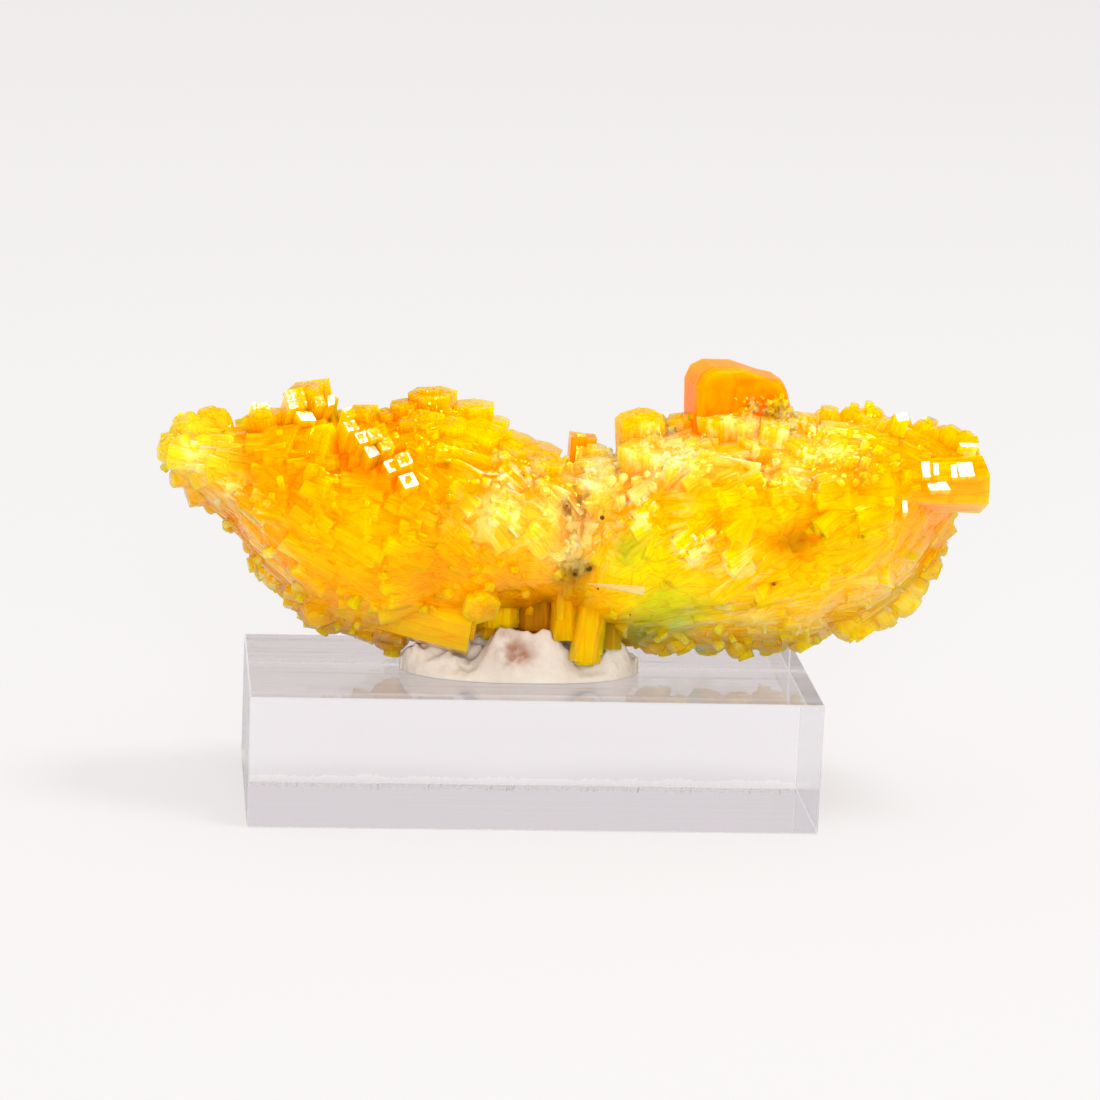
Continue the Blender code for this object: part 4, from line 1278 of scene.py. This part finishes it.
@dataclass
class ParallelGrowth:
    """Thin crystals beside and on each large one, all along its axis, which step its end and sides."""

    per_width: float = 1.9
    widths: Pair = (0.26, 0.6)
    end_steps: Pair = (-0.35, 0.22)
    side_steps: Pair = (0.2, 2.6)
    side_out: float = 0.16
    longest: float = 2.2
    thicks: Pair = (0.75, 1.2)
    bevelled_share: float = 0.25
    taper: float = 0.9
    seed: int = 21

    def grow(self, hosts: Sequence[Crystal]) -> list[Crystal]:
        """Steps for every host, half of them on its end and half along its sides.

        Args:
            hosts: The large crystals.

        Returns:
            The steps, host by host.
        """
        rng = np.random.default_rng(self.seed)
        found = []
        for host in hosts:
            for number in range(2 + round(self.per_width * host.width)):
                found.append(self.step(rng, host, number % 2 == 0))
        return found

    def step(self, rng: np.random.Generator, host: Crystal, on_end: bool) -> Crystal:
        """One thin crystal of a host.

        Args:
            rng: Source of the scatter.
            host: The large crystal.
            on_end: Whether it stands on the host's end rather than along its side.

        Returns:
            The crystal, turned as its host is.
        """
        axis, side, other = host.basis()
        width = host.width * rng.uniform(*self.widths)
        angle = rng.uniform(0.0, math.tau)
        direction = math.cos(angle) * side + math.sin(angle) * other * host.thick
        if on_end:
            out = rng.uniform(0.0, 0.5 * (host.width - width))
            along = rng.uniform(*self.end_steps) * min(1.0, host.width / 1.6)
        else:
            out = 0.5 * (host.width - width) + rng.uniform(0.0, self.side_out)
            along = -rng.uniform(*self.side_steps)
        tip = np.array(host.tip) + direction * out + axis * along
        length = min(host.length, self.longest)
        thick = host.thick * rng.uniform(*self.thicks)
        ending = bevelled_or_flat(rng, self.bevelled_share)
        tip, axis = tuple(tip), tuple(axis)
        return Crystal(tip, axis, length, width, thick, host.turn, host.sides, ending, self.taper)


@dataclass
class Crust:
    """Small crystals scattered over the sides of the large ones, where the cluster glitters most."""

    count: int = 2600
    widths: Pair = (0.16, 0.5)
    lean: float = 0.35
    bare_share: float = 0.12
    length: float = 1.4
    thicks: Pair = (0.6, 1.0)
    taper: float = 0.85
    four_sided_share: float = 0.5
    bevelled_share: float = 0.3
    seed: int = 5

    def grow(self, core: Core) -> list[Crystal]:
        """Small crystals standing out of the core at random places, most of them in glittering zones.

        Args:
            core: What they stand on.

        Returns:
            The crystals.
        """
        rng = np.random.default_rng(self.seed)
        found = []
        first, last = core.stations[0].x + 0.3, core.stations[-1].x - 0.3
        for _ in range(self.count):
            spot, outward = core.frame_at(rng.uniform(first, last), rng.uniform(0.0, math.tau))
            across = spot[0] + VIEW_SLIDE * abs(spot[1])
            up = spot[2] - VIEW_RISE * abs(spot[1])
            glitter = max(float(zone.weight(across, up)) for zone in GLITTER)
            if rng.random() > self.bare_share + glitter:
                continue
            width = rng.uniform(*self.widths)
            axis = unit(outward + 0.4 * unit(spot - GROWTH_CENTRE) + rng.normal(0.0, self.lean, 3))
            tip = spot + outward * rng.uniform(0.1, 0.5) + axis * 0.5 * width
            thick, turn = rng.uniform(*self.thicks), rng.uniform(0.0, 60.0)
            sides = square_or_six(rng, self.four_sided_share)
            ending = bevelled_or_flat(rng, self.bevelled_share)
            tip, axis = tuple(tip), tuple(axis)
            found.append(Crystal(tip, axis, self.length, width, thick, turn, sides, ending, self.taper))
        return found


@dataclass
class Tablet:
    """The thick orange plate that stands on the right wing."""

    outline: tuple[Pair, ...] = TABLET_OUTLINE
    centre: Triple = (10.3, -0.9, 22.75)
    thickness: float = 3.2
    turn: float = 9.0
    rims: tuple[Pair, ...] = ((0.3, 1.0), (0.41, 0.97), (0.47, 0.92), (0.5, 0.86))
    colour: Triple = (255.0, 132.0, 0.0)
    crust_count: int = 240
    seed: int = 21

    def build(self) -> Object:
        """Carries the outline through the thickness, a little smaller at the front and back.

        Returns:
            The plate.
        """
        outline = np.array(self.outline)
        rims = [(-depth, share) for depth, share in reversed(self.rims)] + list(self.rims)
        rings = [
            np.column_stack([outline[:, 0] * s, np.full(len(outline), d * self.thickness), outline[:, 1] * s])
            for d, s in rims
        ]
        turn = math.radians(self.turn)
        spin = np.array([
            [math.cos(turn), math.sin(turn), 0.0],
            [-math.sin(turn), math.cos(turn), 0.0],
            [0.0, 0.0, 1.0],
        ])
        points = np.concatenate(rings) @ spin + self.centre
        made = new_object("orange_tablet", points, ring_faces(len(rims), len(outline)), turned=False)
        grain = loop_points(made.data) * np.array([0.5, 5.0, 0.5])
        look = Crystal(self.centre, (0, 0, 1), 1.0, 1.0, colour=self.colour, colour_share=1.0, clear=-1.0)
        store_looks(made.data, grain, 0.0, look)
        return made

    def crust(self) -> list[Crystal]:
        """Small crystals on the lower front of the plate, fewer and smaller further up.

        Returns:
            The crystals.
        """
        rng = np.random.default_rng(self.seed)
        found = []
        for _ in range(self.crust_count):
            up = rng.random() ** 1.7
            across = rng.uniform(-2.1, 2.6)
            width = rng.uniform(0.22, 0.7) * (1.1 - 0.75 * up)
            tip = np.array(self.centre) + (across, -0.5 * self.thickness - 0.16 * across, -2.3 + 2.3 * up)
            axis = unit(np.array((0.0, -0.8, 0.6)) + rng.normal(0.0, 0.35, 3))
            tip = tuple(tip + 0.12 * axis)
            found.append(Crystal(tip, tuple(axis), 0.9, width, rng.uniform(0.7, 1.0), rng.uniform(0.0, 60.0)))
        return found


@dataclass(frozen=True)
class Wear:
    """How its place changes a large crystal.

    Attributes:
        front_line: Wide crystals in front of this are sunk.
        wide: Width above which they are.
        sink: How far they move back and down.
        crest_span: Ends of the crest along X.
        crest_front: The crest's crystals in front of this stand upright.
        crest_foot: Height where the crest begins.
        upright: Their axis across and up.
        low_top: Crystals below this that stand beyond low_beyond are rounded.
        low_beyond: Distance from the middle where the low ones are rounded.
        right_beyond: Where all thin ones of the right wing are rounded.
        thin_front: How far in front or behind the rounded ones may stand.
        rounded_sides: Their number of sides.
        left_tip: Crystals left of this are worn quite round.
        tip_sides: Their number of sides.
    """

    front_line: float = -3.1
    wide: float = 1.5
    sink: Pair = (0.9, -0.2)
    crest_span: Pair = (-7.0, 14.5)
    crest_front: float = -2.4
    crest_foot: float = 18.3
    upright: Pair = (-0.25, 0.95)
    low_top: float = 16.0
    low_beyond: float = 6.0
    right_beyond: float = 13.5
    thin_front: float = 3.0
    rounded_sides: int = 9
    left_tip: float = -13.0
    tip_sides: int = 14

    def apply(self, host: Crystal) -> Crystal:
        """One crystal as its place wears it.

        Args:
            host: The crystal as it grew.

        Returns:
            The worn crystal, or the same where it is kept.
        """
        if host.kept:
            return host
        x, y, z = host.tip
        if y < self.front_line and host.width > self.wide:
            y, z = y + self.sink[0], z + self.sink[1]
            host = replace(host, tip=(x, y, z))
        if self.crest_span[0] < x < self.crest_span[1] and y < self.crest_front and z > self.crest_foot:
            return replace(host, axis=(host.axis[0], *self.upright))
        crowded = z < self.low_top and abs(x) > self.low_beyond
        if (crowded or x > self.right_beyond) and abs(y) < self.thin_front:
            return replace(host, sides=self.rounded_sides, ending=Ending.DOMED)
        if x > self.left_tip or host.sides == 4:
            return host
        return replace(host, sides=self.tip_sides, ending=Ending.DOMED)


@dataclass
class MimetiteCluster:
    """The whole crystal cluster, joined to one surface.

    Attributes:
        finish: Finish of most of it.
        plate_finish: Finish of the tablet.
        glint_finish: Finish of the crystals that mirror the lamp.
        core: The mass inside it.
        tablet: The orange plate.
        steps: The thin crystals on the large ones.
        crust: The small crystals scattered over it.
        wear: How the large crystals are changed by their place.
        speck_colour: Colour of the dark grains.
        speck_rise: How far they stand out.
        bases: Colours of the left and right wings where no zone lies.
        wing_blend: Where across the first turns into the second, and over what reach.
        painted_low_light_and_reddening: From what height, over what reach, from what green share and by how
            much it turns orange; the green kept higher low down is painted light on the shaded lower parts.
        glitter_floor: Glitter outside its zones.
        warmth_seed: Seed of the crystals' own lean to orange.
    """

    finish: MimetiteFinish = field(default_factory=MimetiteFinish)
    plate_finish: MimetiteFinish = MimetiteFinish("mimetite_orange", ior=1.28, polish=0.35, blend=0.0)
    glint_finish: MimetiteFinish = MimetiteFinish("mimetite_glint", blend=0.0, gloss_tint=(255, 255, 255))
    core: Core = field(default_factory=Core)
    tablet: Tablet = field(default_factory=Tablet)
    steps: ParallelGrowth = field(default_factory=ParallelGrowth)
    crust: Crust = field(default_factory=Crust)
    wear: Wear = Wear()
    speck_colour: Triple = (70.0, 44.0, 20.0)
    speck_rise: float = 0.3
    bases: tuple[Triple, Triple] = (LEFT_BASE, RIGHT_BASE)
    wing_blend: Pair = (-4.0, 8.0)
    painted_low_light_and_reddening: tuple[float, float, float, float] = (10.0, 7.0, 1.02, 0.24)
    glitter_floor: float = 0.1
    warmth_seed: int = 3

    def build(self) -> Object:
        """Grows every crystal and joins them with the body.

        Returns:
            The cluster.
        """
        groups = (LEFT_WING, LEFT_FRONT, MIDDLE, RIGHT_WING, RIGHT_FRONT)
        hosts = [self.wear.apply(host) for group in groups for host in group]
        low = [*Fan(self.core).grow(), *Shingles(self.core).grow()]
        fine = [*self.steps.grow(hosts), *self.crust.grow(self.core), *self.tablet.crust()]
        glints = [glint.crystal() for glint in GLINTS]
        specks = [self.speck(*speck) for speck in SPECKS]
        grown = [*hosts, *low, *fine, *glints, *SINGLES, *specks]
        LOG.info("crystals: %d large, %d in all", len(hosts), len(grown))
        made = self.join(grown)
        self.dress(made)
        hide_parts("mimetite_cluster")
        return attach(made, "root")

    def speck(self, across: float, up: float, width: float) -> Crystal:
        """A dark grain that stands a little out of the front.

        Args:
            across: Its place across, as the photograph sees it.
            up: Its place up, as the photograph sees it.
            width: Its width.

        Returns:
            The grain.
        """
        x, y, z = self.core.seen(across, up)
        tip, axis = (x, y - self.speck_rise, z), (0.0, -1.0, 0.2)
        return Crystal(tip, axis, 1.0, width, 0.9, 0.0, 7, Ending.DOMED, 0.9, self.speck_colour, 1.0)

    def join(self, grown: Sequence[Crystal]) -> Object:
        """One solid from the body, the tablet and all crystals.

        Args:
            grown: The crystals.

        Returns:
            The solid, all of triangles.
        """
        warmth = np.random.default_rng(self.warmth_seed).uniform(-1.0, 1.0, len(grown))
        body = Body(self.core).build()
        names = [f"crystal_{number:04d}" for number in range(len(grown))]
        built = [crystal.build(name, lean) for crystal, name, lean in zip(grown, names, warmth.tolist())]
        members = [self.tablet.build(), *built]
        group = bpy.data.collections.new("crystals")
        bpy.context.scene.collection.children.link(group)
        for member in members:
            bpy.context.scene.collection.objects.unlink(member)
            group.objects.link(member)
        union = body.modifiers.new("crystals", "BOOLEAN")
        union.operation = "UNION"
        union.operand_type = "COLLECTION"
        union.collection = group
        union.solver = "MANIFOLD"
        graph = bpy.context.evaluated_depsgraph_get()
        mesh = bpy.data.meshes.new_from_object(body.evaluated_get(graph))
        with_bmesh(mesh, bmesh.ops.triangulate)
        for helper in [body, *members]:
            helper_mesh = helper.data
            bpy.data.objects.remove(helper, do_unlink=True)
            bpy.data.meshes.remove(helper_mesh)
        bpy.data.collections.remove(group)
        mesh.name = "mimetite_crystals"
        return link("mimetite_crystals", mesh)

    def dress(self, made: Object) -> None:
        """Stores the colour, frost and glitter of each place, then gives each face its finish.

        Args:
            made: The cluster.
        """
        mesh = made.data
        points = read_points(mesh)
        across = points[:, 0] + VIEW_SLIDE * np.abs(points[:, 1])
        up = points[:, 2] - VIEW_RISE * np.abs(points[:, 1])
        start, reach = self.wing_blend
        right = np.clip((across - start) / reach, 0.0, 1.0)[:, None]
        tint = linear(self.bases[0]) * (1.0 - right) + linear(self.bases[1]) * right
        for zone in ZONES:
            share = zone.weight(across, up)[:, None]
            tint = tint * (1.0 - share) + linear(zone.colour) * share
        # Painted light: more green low down brightens the shaded lower parts, and less green up high turns
        # them orange.
        foot, reach, most, loss = self.painted_low_light_and_reddening
        tint[:, 1] *= most - loss * np.clip((up - foot) / reach, 0.0, 1.0)
        frost = np.max([zone.weight(across, up) for zone in FROST], axis=0)
        glitter = np.max([zone.weight(across, up) for zone in GLITTER], axis=0)
        glitter = self.glitter_floor + (1.0 - self.glitter_floor) * glitter
        write_attribute(mesh, "tint", "FLOAT_COLOR", "POINT", np.column_stack([tint, np.ones(len(tint))]))
        write_attribute(mesh, "frost", "FLOAT", "POINT", np.clip(frost, 0.0, 1.0))
        write_attribute(mesh, "glitter", "FLOAT", "POINT", np.clip(glitter, 0.0, 1.0))
        write_attribute(mesh, "outward", "FLOAT_VECTOR", "POINT", self.core.outward(points))
        clear = np.empty(len(mesh.polygons), np.float32)
        mesh.attributes["clear"].data.foreach_get("value", clear)
        mesh.materials.clear()
        for finish in (self.finish, self.glint_finish, self.plate_finish):
            mesh.materials.append(finish.material())
        mesh.polygons.foreach_set("material_index", np.where(clear > 0.5, 1, np.where(clear < -0.5, 2, 0)))


@dataclass
class TackLump:
    """The putty lump pressed between the block and the crystals."""

    finish: TackFinish = field(default_factory=TackFinish)
    bumps: tuple[Bump, ...] = TACK_BUMPS
    left: float = -6.9
    right: float = 5.85
    front: float = -3.0
    back: float = 3.0
    edge: float = 0.42
    folds: Triple = (0.3, 0.13, 0.035)
    hollow: float = 0.95
    crack: float = 0.3
    hollow_shade_place: Pair = (-1.0, -2.4)
    stain_floor: float = 0.16
    rows: int = 150
    columns: int = 72

    def build(self, cluster: Object) -> Object:
        """Makes the lump with its top pressed against the crystals.

        Args:
            cluster: The joined cluster that presses on it.

        Returns:
            The lump.
        """
        tree = BVHTree.FromObject(cluster, bpy.context.evaluated_depsgraph_get())
        middle = 0.5 * (self.left + self.right)
        half = 0.5 * (self.right - self.left)
        turn = np.linspace(0.0, math.pi, self.rows)
        fall = np.linspace(0.0, math.pi, self.columns)
        x = middle - half * np.cos(turn)[:, None] + 0.0 * fall
        reach = np.maximum(0.02, 1.0 - np.abs((x - middle) / half) ** 2.4) ** 0.5
        across = -np.cos(fall)[None, :] + 0.0 * x
        y = reach * np.where(across < 0, -self.front, self.back) * across
        z = BLOCK_TOP + 0.02 + self.height(x, y, across)
        limit = np.array([self.limit(tree, a, b) for a, b in zip(x.ravel(), y.ravel())]).reshape(x.shape)
        z = np.maximum(BLOCK_TOP + 0.06, np.minimum(z, limit))
        top = np.stack([x, y, z], axis=-1).reshape(-1, 3)
        floor = top.copy()
        floor[:, 2] = BLOCK_TOP + 0.02
        faces = sheet_pair(self.rows, self.columns)
        made = new_object("tack_lump", np.concatenate([top, floor]), faces, smooth=True, turned=False)
        self.dress(made)
        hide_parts("mineral_tack")
        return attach(made, "root")

    def height(self, x: np.ndarray, y: np.ndarray, across: np.ndarray) -> np.ndarray:
        """Height over the block: a smooth maximum of bells, a rounded foot, folds, a hollow and a crack.

        The folds are products of two sine waves, the wider ones bent by another.

        Args:
            x: Places along X.
            y: Places along Y.
            across: The same as shares of the lump's reach along Y, from minus one to one.

        Returns:
            The heights.
        """
        rises = [
            one.height * np.exp(-(np.abs((x - one.x) / one.reach_x) ** 3) - ((y - one.y) / one.reach_y) ** 2)
            for one in self.bumps
        ]
        highest = sum(rise**3 for rise in rises) ** (1.0 / 3.0)
        rounded = np.sqrt(np.maximum(0.0, 1.0 - np.abs(across) ** 7.0))
        foot = 1.0 - np.abs(across) ** 5.0
        wide, medium, fine = self.folds
        folds = wide * np.sin(1.9 * x + 1.4 * np.sin(1.7 * y)) * np.sin(2.9 * y + 0.9 * x + 0.6)
        folds += medium * np.sin(5.1 * x - 2.3 * y + np.sin(3.1 * x)) * np.sin(6.3 * y + 1.0)
        folds += fine * np.sin(11.0 * x + 3.0 * y) * np.sin(9.0 * y - 4.0 * x)
        bend = 2.42 + 0.12 * np.sin(3.0 * x)
        hollow = self.hollow * np.exp(-(((x + 1.0) / 1.0) ** 2) - ((y + bend) / 0.2) ** 2)
        crack = self.crack * np.exp(-(((x + 0.75) / 0.5) ** 2) - ((y + 2.62 - 0.35 * (x + 0.75)) / 0.05) ** 2)
        return rounded * (self.edge + highest * foot + folds * foot) - (hollow + crack) * rounded

    def limit(self, tree: BVHTree, x: float, y: float) -> float:
        """Height of the crystals over one place, from the block's top upwards."""
        hit = tree.ray_cast((x * MM, y * MM, (BLOCK_TOP + 0.05) * MM), (0.0, 0.0, 1.0))[0]
        return math.inf if hit is None else hit.z / MM + 0.04

    def dress(self, made: Object) -> None:
        """Stains the whole lump faintly, paints shade over the hollow on the front of the hump, and gives the
        finish.

        Args:
            made: The lump.
        """
        mesh = made.data
        points = read_points(mesh)
        x, y = self.hollow_shade_place
        # Painted shade: darker over the hollow and crack on the front of the hump.
        near = np.exp(-(((points[:, 0] - x) / 0.9) ** 2) - ((points[:, 1] - y) / 0.3) ** 2)
        write_attribute(mesh, "stain_and_shade", "FLOAT", "POINT", np.clip(self.stain_floor + 1.1 * near, 0.0, 1.0))
        mesh.materials.append(self.finish.material())


def sheet_pair(rows: int, columns: int) -> list[Face]:
    """Faces of an upper and a lower sheet of points, joined round their rim.

    Args:
        rows: Rows of each sheet.
        columns: Points of each row.

    Returns:
        The faces.
    """
    lower = rows * columns
    top = grid_faces(rows, columns)
    bottom = top[:, ::-1] + lower
    rim = list(range(columns))
    rim += [i * columns + columns - 1 for i in range(1, rows)]
    rim += [(rows - 1) * columns + j for j in range(columns - 2, -1, -1)]
    rim += [i * columns for i in range(rows - 2, 0, -1)]
    sides = [(a, b, lower + b, lower + a) for a, b in zip(rim, rim[1:] + rim[:1])]
    return [tuple(face) for face in np.concatenate([top, bottom]).tolist()] + sides


@dataclass
class AcrylicBlock:
    """The clear block, with small bevels and a sawn lower back edge."""

    finish: AcrylicFinish = field(default_factory=AcrylicFinish)
    edge_finish: GroundEdgeFinish = field(default_factory=GroundEdgeFinish)
    width: float = 30.0
    depth: float = 12.7
    height: float = BLOCK_TOP
    bevel: float = 0.07
    cut: float = 0.36
    cut_waver: float = 0.1
    cut_grit: float = 0.03
    cut_limits: Pair = (0.24, 0.5)
    end_dullness: float = 0.3
    stations: int = 240
    seed: int = 12

    def build(self) -> Object:
        """Carries the bevelled section along X, its lower back bevel wavering like a saw cut.

        Returns:
            The block.
        """
        rng = np.random.default_rng(self.seed)
        half = 0.5 * self.width
        x = np.linspace(-half + self.bevel, half - self.bevel, self.stations)
        waver = np.convolve(rng.normal(0.0, 1.0, self.stations + 6), np.ones(7) / 7.0, "valid")
        cut = self.cut + self.cut_waver * waver + self.cut_grit * rng.normal(0.0, 1.0, self.stations)
        cut = np.clip(cut, *self.cut_limits)
        sections = [self.section(place, size, 0.0) for place, size in zip(x, cut)]
        first = self.section(-half, cut[0], self.bevel)
        last = self.section(half, cut[-1], self.bevel)
        points = np.concatenate([first, *sections, last])
        made = new_object("acrylic_block", points, ring_faces(self.stations + 2, 8), turned=False)
        self.dress(made)
        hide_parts("acrylic_base")
        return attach(made, "root")

    def section(self, x: float, cut: float, inset: float) -> np.ndarray:
        """One cross section: a rectangle with its corners cut, drawn in by inset.

        Args:
            x: Place along the block.
            cut: Size of the lower back corner's cut.
            inset: How far the section is drawn in on every side.

        Returns:
            Its eight points.
        """
        b = self.bevel
        back = 0.5 * self.depth
        outline = np.array([
            (-back + b, 0.0),
            (back - cut, 0.0),
            (back, cut),
            (back, self.height - b),
            (back - b, self.height),
            (-back + b, self.height),
            (-back, self.height - b),
            (-back, b),
        ])
        middle = np.array([0.0, 0.5 * self.height])
        size = np.array([back, 0.5 * self.height])
        shrunk = middle + (outline - middle) * (size - inset) / size
        return np.column_stack([np.full(8, x), shrunk])

    def dress(self, made: Object) -> None:
        """Marks the bevels as sawn, the ends as a little rougher and the top for its painted shade streaks,
        and gives the finishes.

        Args:
            made: The block.
        """
        mesh = made.data
        normals = np.empty(len(mesh.polygons) * 3)
        mesh.polygons.foreach_get("normal", normals)
        normals = normals.reshape(-1, 3)
        flat = 0.98
        sawn = np.where(np.abs(normals).max(axis=1) < flat, 1.0, 0.0)
        sawn = np.where(np.abs(normals[:, 0]) > flat, self.end_dullness, sawn)
        write_attribute(mesh, "sawn", "FLOAT", "FACE", sawn)
        # The top faces get the painted shade streaks.
        write_attribute(mesh, "shade_streaks", "FLOAT", "FACE", (normals[:, 2] > flat).astype(float))
        mesh.materials.append(self.finish.material())
        mesh.materials.append(self.edge_finish.material())
        mesh.polygons.foreach_set("material_index", (sawn > 0.9).astype(np.int32))


@dataclass
class Studio:
    """Pale floor and backdrop, soft light and the camera at the photograph's angle.

    Lamps are placed and sized in metres, and their radiance is how bright their faces look.
    """

    floor_colour: Triple = (103.0, 104.0, 105.0)
    floor_glow: float = 0.69
    floor_glow_colour: Triple = (255.0, 250.0, 248.0)
    floor_reach: float = 3000.0
    floor_drop: float = 0.05
    backdrop_glow: float = 0.67
    backdrop_glow_colour: Triple = (255.0, 249.0, 250.0)
    backdrop_body: tuple[float, ...] = (0.02, 0.02, 0.02, 1.0)
    backdrop_size: Triple = (900.0, 800.0, 420.0)
    world_strength: float = 1.14
    world_colour: Triple = (250.0, 250.0, 255.0)
    lit_place: Triple = (0.0, 0.0, 0.015)
    softbox_size: Pair = (0.095, 0.085)
    softbox_radiance: float = 37.0
    fill_place: Triple = (-0.08, -0.6, 0.05)
    fill_size: Pair = (0.6, 0.25)
    fill_radiance: float = 15.0
    yaw: float = 5.71
    pitch: float = 13.79
    roll: float = 2.40
    lens: float = 147.4

    def build(self) -> None:
        """Sets up everything that isn't part of the object."""
        self.floor()
        self.backdrop()
        self.world()
        lamp = tuple(np.array(LAMP_PLACE) * MM)
        self.softbox("top_softbox", lamp, self.softbox_size, self.softbox_radiance)
        fill = self.softbox("front_fill", self.fill_place, self.fill_size, self.fill_radiance)
        fill.visible_glossy = False
        fill.visible_transmission = False
        self.camera()
        bpy.context.scene.view_settings.view_transform = "Standard"

    def screen(self, name: str, corners: Sequence[Triple], inputs: Inputs) -> None:
        """A flat glowing surface of the studio.

        Args:
            name: Name of it and of its material.
            corners: Its four corners in millimetres.
            inputs: What its shader gets.
        """
        made = new_object(name, np.array(corners), [(0, 1, 2, 3)])
        made.data.materials.append(Recipe(name).finish(inputs))

    def floor(self) -> None:
        """A wide pale floor just under the block."""
        reach, z = self.floor_reach, -self.floor_drop
        corners = [(-reach, -reach, z), (reach, -reach, z), (reach, reach, z), (-reach, reach, z)]
        self.screen("studio_floor", corners, {
            "Base Color": rgba(self.floor_colour),
            "Roughness": 0.7,
            "Specular IOR Level": 0.0,
            "Emission Color": rgba(self.floor_glow_colour),
            "Emission Strength": self.floor_glow,
        })

    def backdrop(self) -> None:
        """A pale grey wall behind the table, which the clear block shows and mirrors."""
        reach, y, top = self.backdrop_size
        corners = [(-reach, y, 0.0), (reach, y, 0.0), (reach, y, top), (-reach, y, top)]
        self.screen("studio_backdrop", corners, {
            "Base Color": self.backdrop_body,
            "Emission Color": rgba(self.backdrop_glow_colour),
            "Emission Strength": self.backdrop_glow,
        })

    def world(self) -> None:
        """Even white light from all round, which no surface mirrors."""
        world = bpy.data.worlds.new("studio")
        world.use_nodes = True
        background = world.node_tree.nodes["Background"]
        background.inputs["Color"].default_value = rgba(self.world_colour)
        background.inputs["Strength"].default_value = self.world_strength
        world.cycles_visibility.glossy = False
        bpy.context.scene.world = world

    def softbox(self, name: str, place: Triple, size: Pair, radiance: float) -> Object:
        """A rectangular lamp turned to the object.

        Args:
            name: Its name.
            place: Where it hangs.
            size: Its width and height.
            radiance: How bright its face looks.

        Returns:
            The lamp.
        """
        light = bpy.data.lights.new(name, "AREA")
        light.shape = "RECTANGLE"
        light.size, light.size_y = size
        light.energy = radiance * size[0] * size[1] * math.pi
        back = unit(np.array(place) - np.array(self.lit_place))
        right = unit(np.cross((0.0, 1.0, 0.0), back))
        made = link(name, light)
        made.matrix_world = as_matrix(right, np.cross(back, right), back, np.array(place))
        return made

    def camera(self) -> None:
        """The camera, from the angles fitted to the block's corners."""
        yaw, pitch, roll = (math.radians(angle) for angle in (self.yaw, self.pitch, self.roll))
        level = np.array([math.sin(yaw), math.cos(yaw), 0.0])
        forward = level * math.cos(pitch) - np.array([0.0, 0.0, math.sin(pitch)])
        right = np.array([math.cos(yaw), -math.sin(yaw), 0.0])
        up = np.cross(right, forward)
        rolled = right * math.cos(roll) + up * math.sin(roll)
        up = -right * math.sin(roll) + up * math.cos(roll)
        data = bpy.data.cameras.new("camera")
        data.sensor_width = 36.0
        data.lens = self.lens
        data.clip_start = 0.01
        data.clip_end = 20.0
        made = link("camera", data)
        made.matrix_world = as_matrix(rolled, up, -forward, np.array(CAMERA_PLACE) * MM)
        bpy.context.scene.camera = made


def as_matrix(x: np.ndarray, y: np.ndarray, z: np.ndarray, place: np.ndarray) -> Matrix:
    """A placement of an object.

    Args:
        x: Direction of its X axis.
        y: Direction of its Y axis.
        z: Direction of its Z axis.
        place: Its origin in metres.

    Returns:
        The matrix.
    """
    rows = np.eye(4)
    rows[:3, 0], rows[:3, 1], rows[:3, 2], rows[:3, 3] = x, y, z, place
    return Matrix(rows.tolist())


def main() -> None:
    """Builds the pieces in order, then the studio."""
    logging.basicConfig(level=logging.INFO, format="%(message)s")
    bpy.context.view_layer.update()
    block = AcrylicBlock().build()
    cluster = MimetiteCluster().build()
    lump = TackLump().build(cluster)
    for piece in (block, cluster, lump):
        LOG.info("%s: %d faces", piece.name, len(piece.data.polygons))
    Studio().build()


if __name__ == "__main__":
    main()
